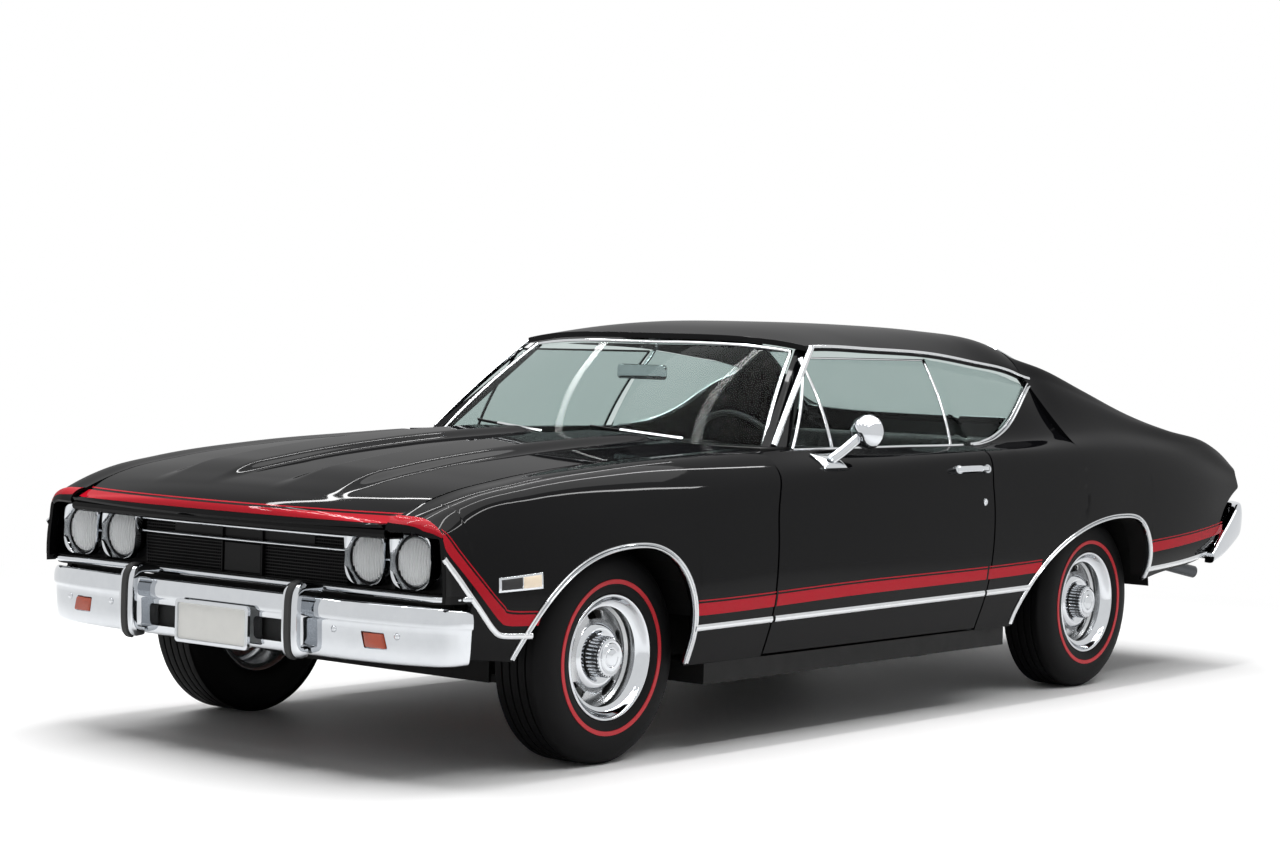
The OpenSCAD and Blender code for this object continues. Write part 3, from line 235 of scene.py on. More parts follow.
def shell(outer, inner):
    """Closed faces between two grids of the same size."""
    n, m = outer.shape[:2]
    s = n * m
    faces = quads(n, m) + [f[::-1] for f in quads(n, m, s)]
    rim = [i * m for i in range(n)] + [(n - 1) * m + j for j in range(1, m)]
    rim += [i * m + m - 1 for i in range(n - 2, -1, -1)] + list(range(m - 2, 0, -1))
    faces += [(a, b, s + b, s + a) for a, b in zip(rim, rim[1:] + rim[:1])]
    return np.concatenate([outer.reshape(-1, 3), inner.reshape(-1, 3)]), faces


def arch(shape, w):
    """Edge of a wheel arch at w degrees from its rear foot over to its front foot."""
    mid, foot, high, back, back_power, ahead, ahead_power = shape
    w = np.radians(w)
    fore = w > math.pi / 2
    q = 2 / np.where(fore, ahead_power, back_power)
    x = mid + np.where(fore, ahead, -back) * np.abs(np.cos(w)) ** q
    return np.stack([x, foot + high * np.sin(w) ** q], -1)


# Deep gloss black: a clear mirror over a nearly black base, with a faint orange-peel in the lacquer.
# The coat is thin, so that the pale studio stays a dark grey in it and only the lamps show bright.
LACQUER = {"Specular IOR Level": 0.0, "Coat Weight": 0.24, "Coat Roughness": 0.03}
black_enamel = material("black_enamel", ("#060607", "#08080a"), 4, (0.03, 0.05), 0.002, **LACQUER)
# Columns of an arch: middle x, foot z, height, reach and power behind, reach and power ahead.
FRONT_ARCH = (1590, 275, 380, 289, 2.45, 470, 2.1)
FENDER_REAR, SILL_END, NOSE_SPLIT, NOSE_END, NOSE_FOOT = 908.8, 1290, 2236, 2330, 524
# How far the cut between fender and door leans back as it rises. Columns: z, x.
CUT = [(280, 0), (640, 0), (720, -12), (790, -38), (850, -70), (905, -88), (935, -92)]
# Ahead of the wheel the foot steps up where the bumper wraps round. Columns: x, z or 0 for the sill.
rear_feet = [(x, 0) for x in np.linspace(FENDER_REAR, SILL_END, 12)]
nose_feet = [(x, 0) for x in np.linspace(2070, NOSE_SPLIT, 16)]
nose_feet += [(x, NOSE_FOOT) for x in np.linspace(NOSE_SPLIT + 3, NOSE_END, 14)]
front_feet = np.concatenate([rear_feet, arch(FRONT_ARCH, np.arange(0, 181, 4.0)), nose_feet])
share = np.linspace(0, 1, 64)
fade = np.clip(1 - (front_feet[:, :1] - FENDER_REAR) / 280, 0, 1)
column = ribs(FRONT, front_feet[:, :1] + 0 * share)
foot = front_feet[:, 1:] + 0 * share
start = np.where(foot > 1, lift(column, foot), 0)
t = start + (6 - start) * share
x = front_feet[:, :1] + curve(CUT, up_rib(column, t)[..., 1])[..., 0] * fade
points, faces = shell(side(FRONT, x, t), side(FRONT, x, t, -SKIN))
for mirror, hand in HANDS:
    piece("fender_" + hand, points, faces, black_enamel, "body", "body_paint", ("front_fenders",), 2,
          mirror=mirror)

# Doors: a pressed skin hemmed over an inner shell that carries the vinyl-covered trim board.
# Each hangs on two strap hinges behind the fender; the belt is left bare for the frameless glass.
DOOR_FRONT, DOOR_REAR, DOOR_FOOT, DOOR_INNER, DOOR_LIP = 900, -345, 288, 785, 801
SLAB_FRONT, LATCH_FACE, REAR_LEAN = 800, -288, 62
# Grained vinyl: matt black with a fine leather print.
vinyl_black = material("black_vinyl", ("#0f0f10", "#1a1a1b"), 3, (0.38, 0.55), 0.25)
leading = np.linspace(DOOR_FRONT, SLAB_FRONT, 6)
columns = np.concatenate([leading, np.linspace(SLAB_FRONT - 6, DOOR_REAR, 70)])[:, None]
on_slab = columns[:, 0] < SLAB_FRONT
share = np.linspace(0, 1, 56)
lead = np.zeros_like(columns)
lead[:6, 0] = np.linspace(1, 0, 6)
column = ribs(FRONT[:6], columns + 0 * share)
start = lift(column, DOOR_FOOT + 0 * (columns + share))
t = start + (5 - start) * share
x = columns + curve(CUT, up_rib(column, t)[..., 1])[..., 0] * lead
x = x - REAR_LEAN * share * np.clip(1 - (columns - DOOR_REAR) / 150, 0, 1)
outer = side(FRONT[:6], x, t)
inner = side(FRONT[:6], x, t, -SKIN)
inner[on_slab, :, 1] = np.where(columns[on_slab] < LATCH_FACE, DOOR_LIP, DOOR_INNER)
inner[on_slab, :, 2] = outer[on_slab, :, 2]
inner[on_slab, :, 0] = x[on_slab]
inner[6, :, 0] = SLAB_FRONT
inner[-1, :, 0] += 26
points, faces = shell(outer, inner)
for mirror, hand in HANDS:
    door = "door_" + hand
    skin = piece("door_skin_" + hand, points, faces, black_enamel, door, "body_paint", (door,), 2,
                 mirror=mirror)
    skin.data.materials.append(vinyl_black)
    for face in skin.data.polygons:
        face.material_index = int(abs(face.center.y) < (DOOR_INNER + 1) / 1000)

# Quarter panels: one pressing a side from the door's rear cut to the tail, with the roof's sail.
# Its foot follows the rear wheel arch, whose front edge runs forward in a long slope.
RIDGE = [(-2440, 828, 812), (-2340, 830, 862), (-2200, 836, 910), (-1888, 828, 962), (-1615, 797, 1012),
         (-1400, 748, 1080), (-1170, 692, 1148), (-1030, 657, 1172), (-960, 650, 1190), (-700, 646, 1222),
         (-420, 648, 1248), (-36, 645, 1260), (295, 625, 1264), (400, 612, 1258)]
CREST = [(-2440, 800, 815), (-2200, 806, 914), (-1888, 790, 970), (-1615, 745, 1042), (-1400, 694, 1122),
         (-1170, 640, 1205), (-1030, 602, 1236)]
# The middle line of roof, rear window and trunk lid. Columns: x, z.
CENTRE = [(-2436, 800), (-2424, 846), (-2400, 874), (-2300, 896), (-2000, 936), (-1640, 968), (-1560, 994),
          (-1400, 1086), (-1170, 1218), (-1030, 1282), (-930, 1308), (-700, 1333), (-420, 1344),
          (-150, 1345), (0, 1341), (200, 1324), (400, 1288)]
# How full the top's cross-section is. Columns: x, power.
TOP_POWER = [(-2440, 2.4), (-1640, 2.4), (-1500, 5), (-1170, 9), (-930, 10), (-700, 6.5), (-400, 4.2),
             (0, 3.4), (400, 3.2)]
# The quarter's inner rim along the rear window and the trunk lid. Columns: x, y.
INNER = [(-2440, 690), (-2200, 702), (-1640, 702), (-1560, 690), (-1400, 652), (-1170, 594), (-1000, 552)]


def top_z(x, y):
    """Height of the car's top, from its middle line out to its ridge."""
    edge = curve(RIDGE, x)
    middle = curve(CENTRE, x)[..., 0]
    out = np.minimum(np.abs(y) / edge[..., 0], 1.1) ** curve(TOP_POWER, x)[..., 0]
    return middle - (middle - edge[..., 1]) * out


rim = [(a, b, float(top_z(np.float64(a), np.float64(b)))) for a, b in INNER]
REAR = (SILL, LOW, WIDE, UPPER, SHOULDER, BELT, RIDGE, CREST, rim)
REAR_ARCH = (-1270, 275, 373, 280, 3.5, 680, 1.85)
# The side window's lower edge. Columns: x, lines up the side.
WINDOW_EDGE = [(-1030, 5.86), (-985, 5.74), (-918, 5.58), (-780, 5.3), (-634, 5.12), (-440, 5)]
# The tail's cut. Columns: share of the height, x.
TAIL_CUT = [(0, -2060), (0.086, -2112), (0.18, -2180), (0.25, -2256), (0.3, -2334), (0.36, -2440), (1, -2440)]
QUARTER_FRONT, QUARTER_REAR, SAIL_X = DOOR_REAR - 8, -2440, -1030.6
over = arch(REAR_ARCH, np.concatenate([np.arange(180, 90, -2.5), np.arange(90, -1, -3.0)]))
over = over[over[:, 0] < -480]
ahead = [(x, 0) for x in np.linspace(QUARTER_FRONT, -478, 10)]
behind = [(x, 0) for x in np.linspace(-1575, QUARTER_REAR, 50)]
columns = np.concatenate([ahead, over, behind])
# Two close columns make the step from the window's edge up to the sail.
sail_foot = np.interp(SAIL_X + 0.6, over[::-1, 0], over[::-1, 1])
step = [(SAIL_X + 0.2, sail_foot), (SAIL_X - 0.2, sail_foot)]
columns = np.concatenate([columns[columns[:, 0] > SAIL_X + 6.6], step, columns[columns[:, 0] < SAIL_X - 5.4]])
tops = np.where(columns[:, 0] > SAIL_X, curve(WINDOW_EDGE, columns[:, 0])[:, 0], 8)
share = np.linspace(0, 1, 80)
x = columns[:, :1] - REAR_LEAN * share * np.clip(1 + (columns[:, :1] - QUARTER_FRONT) / 120, 0, 1)
x = np.maximum(x, curve(TAIL_CUT, share)[None, :, 0])
column = ribs(REAR, x)
foot = np.maximum(columns[:, 1:] + 0 * x, column[0, ..., 1])
start = np.where(columns[:, 1:] > 1, lift(column, foot), 0)
t = start + (tops[:, None] - start) * share
inner = side(REAR, x, t, -SKIN)
inner[-1, :, 0] += 12
points, faces = shell(side(REAR, x, t), inner)
for mirror, hand in HANDS:
    piece("quarter_" + hand, points, faces, black_enamel, "body", "body_paint", ("quarter_panels",), 2,
          mirror=mirror)

# Roof: one crowned pressing from the windshield header to the rear window, welded to the pillars.
# The deck strip and the trunk lid carry on the same fall; the lid swings on gooseneck arms.
LID = 20
ROOF_REAR, ROOF_FRONT = (-930, 100), (372, 50)
DECK_REAR, DECK_DEEP, DECK_SEAM = -1640, 78, 0.7
TRUNK_REAR, TRUNK_FRONT, TRUNK_SEAM = -2434, -1661, 11.2
COWL_Z = 930.4


def between(v, u, first, last):
    """x between two edges, each given by its middle and by how far its ends lie back."""
    return (first[0] - first[1] * v * v) * (1 - u) + (last[0] - last[1] * v * v) * u


def lid(name, x, y, z, body, replaced, lean=0.0):
    """A folded panel: an outer sheet whose rim is turned down by the lid's depth."""
    outer = np.stack([x, y, z], -1)
    points, faces = shell(outer, outer - np.stack([lean + 0 * x, 0 * x, LID + 0 * x], -1))
    return piece(name, points, faces, black_enamel, body, "body_paint", replaced, 2)


def capped(n, m):
    """Faces of a tube of n rings of m points with both ends closed."""
    return quads(n, m, closed=True) + [tuple(range(m)), tuple(range((n - 1) * m, n * m))]


v = np.linspace(1, -1, 81)[None]
x = between(v, np.linspace(0, 1, 90)[:, None], ROOF_REAR, ROOF_FRONT)
y = v * curve(RIDGE, x)[..., 0]
lid("roof_skin", x, y, top_z(x, y), "body", ("roof",))
pillar_low = np.array([(690, 712), (690, 748), (610, 770), (610, 724), (650, 716)], float)
pillar_high = np.array([(318, 572), (318, 590), (262, 600), (262, 576), (290, 572)], float)
foot = np.column_stack([pillar_low, np.full(5, COWL_Z)])
head = np.column_stack([pillar_high, top_z(*pillar_high.T) - LID - 3])
climb = np.linspace(0, 1, 12)[:, None, None]
for mirror, hand in HANDS:
    piece("pillar_" + hand, foot * (1 - climb) + head * climb, capped(12, 5), black_enamel, "body",
          "body_paint", (), 3, mirror=mirror)
x = DECK_REAR + DECK_DEEP * np.linspace(0, 1, 8)[:, None] + 0 * v
y = v * (curve(INNER, x)[..., 0] - DECK_SEAM)
lid("deck_strip", x, y, top_z(x, y), "body", ("deck_panel",))
fall = np.concatenate([np.linspace(TRUNK_REAR, -2385, 12), np.linspace(-2375, TRUNK_FRONT, 50)])
x = fall[:, None] + 0 * v
y = v * (curve(INNER, x)[..., 0] - TRUNK_SEAM)
lean = -np.interp(x, (TRUNK_REAR, -2425, -2412, -2385), (18, 12, 6, 0))
lid("trunk_skin", x, y, top_z(x, y), "trunk_lid", ("trunk_lid",), lean)

# Hood: two long domes beside a middle crease, and a lip that turns down over the grille.
# It pivots at the cowl on two arms and closes on the lamp panel.
# The middle line. Columns: x, z.
HOOD = [(780, 949), (1031, 941), (1506, 915), (1945, 870), (2200, 830), (2300, 806), (2390, 765), (2420, 742),
        (2428, 722)]
DOME, HOOD_SEAM, HOOD_LIP = 20, 8, 16.0
HOOD_REAR, HOOD_NOSE = (872, 72), (2428, 36)


def ease(v):
    """A smooth step from 0 to 1."""
    u = np.clip(v, 0, 1)
    return u * u * (3 - 2 * u)


def hood_z(x, y):
    """Height of the hood: a crowned section with a dome on each side of the middle."""
    edge = curve(GAP, x)
    middle = curve(HOOD, x)[..., 0]
    a = np.abs(y)
    dome = ease((a - 95) / 70) * ease((430 - a) / 80) * ease((2330 - x) / 260) * ease((x - 830) / 60)
    return middle - (middle - edge[..., 1]) * np.minimum(a / edge[..., 0], 1) ** 2.2 + DOME * dome


def hood_at(v, u):
    """The hood's x, y and z at a share v of its half width and u of its length."""
    x = between(v, u, HOOD_REAR, HOOD_NOSE)
    y = v * (curve(GAP, x)[..., 0] - HOOD_SEAM)
    return x, y, hood_z(x + HOOD_NOSE[1] * v * v * ease((x - 2200) / 200), y)


v = np.linspace(1, -1, 181)[None]
x, y, z = hood_at(v, 1 - (1 - np.linspace(0, 1, 130)[:, None]) ** 1.7)
lean = np.where(x > 2400 - HOOD_NOSE[1] * v * v, HOOD_LIP, 0.0)
lid("hood_skin", x, y, z, "hood", ("hood",), lean)

# Window glass: bent safety glass set in rubber behind bright mouldings, one pane to each opening.
# The door glass winds down between the skin and the trim board.
# A faint green-grey tint, clear as water from the front.
safety_glass = material("tinted_safety_glass", ("#c5d0ce", "#cad4d2"), 300, (0.0, 0.01), 0,
                        **{"Transmission Weight": 1.0, "IOR": 1.08})
SCREEN_FOOT, SCREEN_SWEEP, SCREEN_HALF = 766, 96, 708
HEADER_X, HEADER_SWEEP, HEADER_HALF, HEADER_DROP = 376, 44, 566, 30
BACK_TOP, BACK_FOOT, BACK_SEAM = (-936, 80), (-1561.3, 0), 3.4


def pane(name, grid, inward, body, replaced, mirror=False):
    """A sheet of glass of even thickness."""
    points, faces = shell(grid, grid + np.asarray(inward, float))
    return piece(name, points, faces, safety_glass, body, "glass", replaced, 0, mirror=mirror)


v = np.linspace(1, -1, 41)[None]
u = np.linspace(0, 1, 25)[:, None]
top_x = HEADER_X - HEADER_SWEEP * v * v
high = np.stack([top_x, HEADER_HALF * v, top_z(top_x, HEADER_HALF * v) - HEADER_DROP], -1)
low = np.stack([SCREEN_FOOT - SCREEN_SWEEP * v * v, SCREEN_HALF * v, COWL_Z + 0 * v], -1)
swell = (u * (1 - u) * 4 * (1 - 0.5 * v * v))[..., None] * (18, 0, 14)
screen = high * (1 - u[..., None]) + low * u[..., None] + swell
pane("windshield_glass", screen, (-8, 0, 0), "body", ("windshield",))
x = between(v, u, BACK_TOP, BACK_FOOT)
y = v * (curve(INNER, x)[..., 0] - BACK_SEAM)
back_light = np.stack([x, y, top_z(x, y)], -1)
pane("rear_glass", back_light, (0, 0, -8), "body", ("rear_window",))
# Door glass: straight fore and aft, bowed as it rises. u runs up it and w along it.
u = np.linspace(0, 1, 17)[None]
w = np.linspace(0, 1, 21)[:, None]
GLASS_FOOT, GLASS_TALL, GLASS_Y, GLASS_TUMBLE, GLASS_BOW = 926.6, 297.4, 793, 169, 64
low_x, high_x = -340 + 968 * w, -398 + 750 * w
y = GLASS_Y - GLASS_TUMBLE * u + GLASS_BOW * u * (1 - u) + 0 * w
door_glass = np.stack([low_x + (high_x - low_x) * u, y, GLASS_FOOT + GLASS_TALL * u + 0 * w], -1)
# Quarter glass: from the window's edge on the panel up to the ridge, its front edge leaned back.
x = np.linspace(-1012, -362, 40)[:, None]
edge = np.where(x > -440, 5, curve(WINDOW_EDGE, x[:, 0]))
foot = side(REAR, x, edge, -SKIN - 0.85)
foot[..., 1] -= 12 * np.clip((x + 450) / 36, 0, 1)
ridge = curve(RIDGE, x)
head = np.stack([x, ridge[..., 0] - 24, ridge[..., 1] - 24], -1)
slide = np.zeros((40, 17, 3))
slide[..., 0] = -46 * u * np.clip((x + 440) / 78, 0, 1)
slide[..., 1] = 40 * u * (1 - u)
quarter_glass = foot * (1 - u[..., None]) + head * u[..., None] + slide
for mirror, hand in HANDS:
    pane("door_glass_" + hand, door_glass, (0, -6, 0), "door_" + hand, (f"door_{hand}_glass",), mirror)
    pane("quarter_glass_" + hand, quarter_glass, (0, -6, 0), "body", ("quarter_windows",), mirror)

# Wheels: a stamped steel disc with five cooling slots, riveted in a deep rim; chromed trim ring, fluted cap.
# The redline tyres have a ring of red rubber moulded into the wall; each wheel spins on its spindle.
# Chrome plate: a clear, slightly cool mirror.
chrome = material("bright_chrome", ("#c4c7cb", "#cdd0d3"), 30, (0.03, 0.07), 0.0, Metallic=1.0)
# Argent paint: fine metal flake, a soft silver shine.
silver_paint = material("argent_wheel_paint", ("#b4b6b8", "#c2c4c6"), 2, (0.18, 0.28), 0.02, Metallic=0.85)
# Moulded rubber: a deep matt black that hardly catches the light.
tyre_rubber = material("tyre_rubber", ("#050506", "#0b0b0c"), 5, (0.5, 0.7), 0.15,
                       **{"Specular IOR Level": 0.12})
# Red rubber: the same skin, dyed a clear matt red.
red_rubber = material("red_wall_rubber", ("#b3121f", "#c01826"), 6, (0.45, 0.6), 0.05)
# Groove paint: flat black, so that the flutes stand out.
groove_black = material("groove_black_paint", ("#0b0b0b", "#121212"), 4, (0.5, 0.7), 0.05)
HALF_TYRE, TREAD, BEAD, TRACK_Y, FRONT_AXLE, REAR_AXLE = 97, 322, 178, 750, 1586, -1259
SLOTS, SLOT_RADIUS, SLOT_REACH, DISC_THICK, FLUTES = 5, 124, 52, 7, 30


def lathe(profile, steps=96):
    """Points and faces of a closed profile of (radius, height) turned about the Y axis."""
    turn = np.linspace(0, 2 * math.pi, steps, endpoint=False)
    spin = np.array([[(r * math.cos(a), h, r * math.sin(a)) for r, h in profile] for a in turn])
    m = len(profile)
    last = (steps - 1) * m
    seam = [(last + j, last + (j + 1) % m, (j + 1) % m, j) for j in range(m)]
    return spin.reshape(-1, 3), quads(steps, m, closed=True) + seam


def joined(*parts):
    """Several shapes of points and faces as one."""
    points, faces, at = [], [], 0
    for p, f in parts:
        points.append(np.asarray(p, float).reshape(-1, 3))
        faces += [tuple(i + at for i in face) for face in f]
        at += len(points[-1])
    return np.concatenate(points), faces


def dish(r):
    """Height of the disc's face over the wheel's middle at a radius."""
    return np.interp(r, (60, 84, 92, 100, 108, 140, 148, 156), (46, 46, 46, 40, 30, 24, 22, 30))


def on_disc(r, turn, height):
    """Points on the disc at a radius and an angle."""
    return np.stack([r * np.cos(turn), height + 0 * turn, r * np.sin(turn)], -1)


# The tyre's wall. Columns: radius, depth in from the widest place.
WALL = [(BEAD + 4, 25), (186, 16), (196, 7), (212, 2.5), (236, 1), (258, 1), (280, 4), (298, 11), (310, 21),
        (317, 31)]
wall = [(r, HALF_TYRE - depth) for r, depth in WALL]
tread = []
for i in range(5):
    y = 60 - i * 30
    tread += [(TREAD - 0.4, y), (TREAD, y - 6), (TREAD, y - 18), (TREAD - 0.4, y - 23)]
    if i < 4:
        tread += [(TREAD - 7, y - 24), (TREAD - 7, y - 29)]
tyre_form = wall + tread + [(r, -h) for r, h in wall[::-1]] + [(BEAD + 2, -60), (BEAD + 2, 60)]
red_form = [(220, HALF_TYRE - 2.4), (220.8, HALF_TYRE + 0.2), (233.2, HALF_TYRE + 0.6),
            (234, HALF_TYRE - 1.6)]
ring_form = [(178, 74), (186, 79), (190, 83), (191, 86.5), (189, 89.5), (185.5, 91), (182, 89.5), (178, 84),
             (173, 75), (166, 67), (158, 62.5), (151, 61), (151, 58), (160, 58), (170, 62), (175, 68)]
barrel_form = [(168, 62), (165, 40), (163, 10), (165, -80), (176, -86), (186, -88), (188, -84), (178, -78),
               (172, 60)]
hub_form = [(156, 30), (156, 24), (150, 20), (148, 22)]
boss_form = [(100, 40), (92, 46.4), (84, 47.4), (76, 46.6), (72, 42), (62, 41), (62, 36), (100, 34)]
cap_form = [(56, 44), (57.5, 88), (56, 91), (50, 93.2), (47, 92), (44, 92), (42, 94), (31, 95), (29, 93.4),
            (26, 93.4), (24, 95.6), (6, 97), (0.01, 97), (0.01, 44)]
core_form = [(62, 42), (62, 45), (58.4, 46), (58.4, 86), (50, 88), (50, 42)]
# One flute of the cap. Columns: height, how far it has tapered in.
FLUTE = ((45, 0), (52, 0), (80, 0.6), (88, 2), (90, 5))
bow = np.array([59.5, 61.8, 62.4, 61.8, 59.5])
flutes = []
for k in range(FLUTES):
    a = np.linspace(-0.06, 0.06, 5) + k * 2 * math.pi / FLUTES
    crown = np.array([on_disc(bow - taper, a, h) for h, taper in FLUTE])
    root = np.array([on_disc(54, a, h) for h, _ in FLUTE])
    flutes.append(shell(crown, root))
# The disc is a fan of fields round the slots, with plain fields between them.
around = np.linspace(0, 2 * math.pi, 48, endpoint=False)
ca, sa = np.cos(around), np.sin(around)
reach = 1 / np.maximum(np.abs(ca), np.abs(sa))
out = np.array([0, 0.12, 0.5, 1])[:, None]
along = 34 * np.sign(ca) * np.abs(ca) ** 0.5 * (1 - out) + SLOT_REACH * ca * reach * out
slot_r = SLOT_RADIUS + 13 * np.sign(sa) * np.abs(sa) ** 0.5 * (1 - out) + 24 * sa * reach * out
field = quads(4, 48, closed=True) + [f[::-1] for f in quads(4, 48, 4 * 48, closed=True)]
for row in (0, 3 * 48):
    field += [(row + j, row + (j + 1) % 48, row + 4 * 48 + (j + 1) % 48, row + 4 * 48 + j) for j in range(48)]
r = np.linspace(100, 148, 9)[None]
half = SLOT_REACH / SLOT_RADIUS
fields = []
for k in range(SLOTS):
    middle = 2 * math.pi * k / SLOTS + math.pi / 2
    face = on_disc(slot_r, middle + along / SLOT_RADIUS, dish(slot_r) - 2.5 * (out == 0))
    back = face - (0, DISC_THICK, 0)
    fields.append((np.concatenate([face.reshape(-1, 3), back.reshape(-1, 3)]), field))
    gap = np.linspace(middle + half, middle + 2 * math.pi / SLOTS - half, 14)[:, None]
    face = on_disc(r, gap, dish(r))
    fields.append(shell(face, face - (0, DISC_THICK, 0)))
# Columns: name, shape, finish, slot, what it stands for, sharpest smooth angle.
WHEEL_PIECES = (
    ("tyre", lathe(tyre_form, 120), tyre_rubber, "tyre_rubber", "tyre_", 40),
    ("redline", lathe(red_form, 120), red_rubber, "tyre_rubber", "", CREASE),
    ("trim_ring", lathe(ring_form, 96), chrome, "chrome", "rim_", 50),
    ("barrel", lathe(barrel_form, 72), silver_paint, "wheel_metal", "", CREASE),
    ("disc", joined(*fields, lathe(hub_form, 96)), silver_paint, "wheel_metal", "", CREASE),
    ("boss", lathe(boss_form, 96), chrome, "chrome", "", 50),
    ("cap_core", lathe(core_form, 60), groove_black, "wheel_metal", "", CREASE),
    ("cap", joined(lathe(cap_form, 64), *flutes), chrome, "chrome", "", CREASE),
)
for end, x in (("front", FRONT_AXLE), ("rear", REAR_AXLE)):
    for mirror, hand in HANDS:
        where = f"{end}_{hand}"
        for name, (points, faces), finish, slot, stands_for, sharp in WHEEL_PIECES:
            replaced = (stands_for + where,) if stands_for else ()
            piece(f"{name}_{where}", points + (x, TRACK_Y, TREAD), faces, finish, "wheel_" + where, slot,
                  replaced, sharp=sharp, mirror=mirror)

# Side striping: red paint masked on over the black, a broad band with a pinstripe above it.
# It runs from the hood's lip down the fender's nose and back along the sill to the rear bumper.
# Red enamel under the same lacquer as the black: a clear, glossy red.
stripe_red = material("red_stripe_enamel", ("#a60e1f", "#ae1324"), 5, (0.05, 0.09), 0.002, **LACQUER)
# The band along the side. Columns: x, z of the lower and the upper edge.
BAND = [(-2240, 552, 588), (-2030, 534, 570), (-1535, 504, 542), (-711, 471, 507), (497, 453, 491),
        (1283, 437, 475), (1310, 437, 475)]
# The band's edges on the nose. Columns: x, z.
NOSE_LOW = [(1997, 450), (2102, 454), (2137, 470), (2187, 519), (2254, 593), (2318, 668), (2330, 700)]
NOSE_HIGH = [(1992, 482), (2103, 488), (2130, 504), (2178, 549), (2236, 612), (2296, 686), (2322, 722)]
PIN_GAP, PIN_WIDE = 6, 4


def strip(name, lines, low, high, finish, body, slot, mirror, proud=0.5, rows=4, cap=5.0):
    """A thin skin on the side between two edges of x and z."""
    low, high = np.asarray(low, float), np.asarray(high, float)
    share = np.linspace(0, 1, rows)
    x = low[:, :1] * (1 - share) + high[:, :1] * share
    z = low[:, 1:] * (1 - share) + high[:, 1:] * share
    t = lift(ribs(lines, x), z, cap)
    points, faces = shell(side(lines, x, t, proud), side(lines, x, t, -1.5))
    return piece(name, points, faces, finish, body, slot, mirror=mirror)


def through(rows, count):
    """A smooth line of count points through the rows."""
    return curve(np.column_stack([np.arange(len(rows)), rows]), np.linspace(0, len(rows) - 1, count))


nose_low, nose_high = through(NOSE_LOW, 100), through(NOSE_HIGH, 100)
away = nose_high - nose_low
away /= np.linalg.norm(away, axis=1)[:, None]
nose_pin = nose_high + PIN_GAP * away
for mirror, hand in HANDS:
    for name, lines, body, first, last in (
            ("fender", FRONT, "body", FENDER_REAR + 2, 1303),
            ("door", FRONT, "door_" + hand, DOOR_REAR + 2, DOOR_FRONT - 2),
            ("quarter_rear", REAR, "body", -2225, -1545),
            ("quarter_front", REAR, "body", -716, QUARTER_FRONT - 2)):
        x = np.linspace(first, last, 60)
        low, high = curve(BAND, x).T
        pin = high + PIN_GAP
        for kind, foot, top in (("band", low, high), ("pin", pin, pin + PIN_WIDE)):
            strip(f"stripe_{kind}_{name}_{hand}", lines, np.stack([x, foot], -1), np.stack([x, top], -1),
                  stripe_red, body, "body_paint", mirror)
    for kind, low, high in (("band", nose_low, nose_high), ("pin", nose_pin, nose_pin + PIN_WIDE * away)):
        strip(f"stripe_{kind}_nose_{hand}", FRONT, low, high, stripe_red, "body", "body_paint", mirror,
              cap=5.5)


# Lamp brows: the fenders' rolled front ends, which carry the line of the hood's lip on over the lamps.
# They are pressed with the fender and painted; the red band crosses them and the lip in one sweep.
BROW_FOOT, BROW_X = 3.9, 2326


def brow(t, u):
    """A point t lines up the fender's front edge, u of the way over the roll."""
    t, u = np.broadcast_arrays(np.asarray(t, float), np.asarray(u, float))
    base = side(FRONT, BROW_X + 0 * t, t)
    ahead = np.interp(t, (BROW_FOOT, 4.5, 5, 5.5, 6), (2, 16, 36, 52, 62))
    drop = np.interp(t, (BROW_FOOT, 4.5, 5, 6), (4, 22, 36, 40))
    turn = u * math.pi / 2
    return base + np.stack([ahead * np.sin(turn), 0 * t, -drop * (1 - np.cos(turn))], -1)


def hood_nose(v, z):
    """The point of the hood's lip at a share v of the half width where it has come down to z."""
    run = np.linspace(0.6, 1, 240)
    _, _, heights = hood_at(v, run)
    x, y, _ = hood_at(v, np.interp(-z, -heights, run))
    return np.stack([x, y, z], -1)


t = np.linspace(BROW_FOOT, 6, 40)[:, None]
roll = brow(t, np.linspace(0, 1, 16)[None])
low_u = np.interp(t, (BROW_FOOT, 4.6, 6), (0.95, 0.8, 0.66))
high_u = np.interp(t, (BROW_FOOT, 4.6, 6), (0.05, 0.0, 0.1))
share = np.linspace(0, 1, 8)[None]
band_skin = brow(t, low_u * (1 - share) + high_u * share)
for mirror, hand in HANDS:
    points, faces = shell(roll, roll - (6, 0, 6))
    piece("lamp_brow_" + hand, points, faces, black_enamel, "body", "body_paint", mirror=mirror)
    points, faces = shell(band_skin + (0.4, 0.2, 0.4), band_skin - (2, 0, 2))
    piece("stripe_band_brow_" + hand, points, faces, stripe_red, "body", "body_paint", mirror=mirror)
for name, z_low, z_high in (("band", 737.0, 756.0), ("pin", 761.0, 764.0)):
    grid = np.array([hood_nose(v, np.linspace(z_low, z_high, 7)) for v in np.linspace(1, -1, 121)])
    points, faces = shell(grid + (0.6, 0, 0.5), grid - (2.5, 0, 2))
    piece(f"stripe_{name}_hood", points, faces, stripe_red, "hood", "body_paint")

# Header panel: a stamped filler in body black under the hood's lip, screwed to the lamp panel.
# It turns under and back to the top moulding of the grille.
v = np.linspace(1, -1, 61)
# Its section. Columns: how far ahead of the lip's line, z.
HEADER = [(0, 718), (2, 708), (-2, 699), (-12, 694), (-60, 693), (-110, 694)]
lip_x = 2421 - HOOD_NOSE[1] * v * v
grid = np.stack([np.stack([lip_x + dx, v * 668, 0 * v + z], -1) for dx, z in HEADER], 1)
points, faces = shell(grid, grid - (5, 0, -5))
piece("header_panel", points, faces, black_enamel, "body", "body_paint")

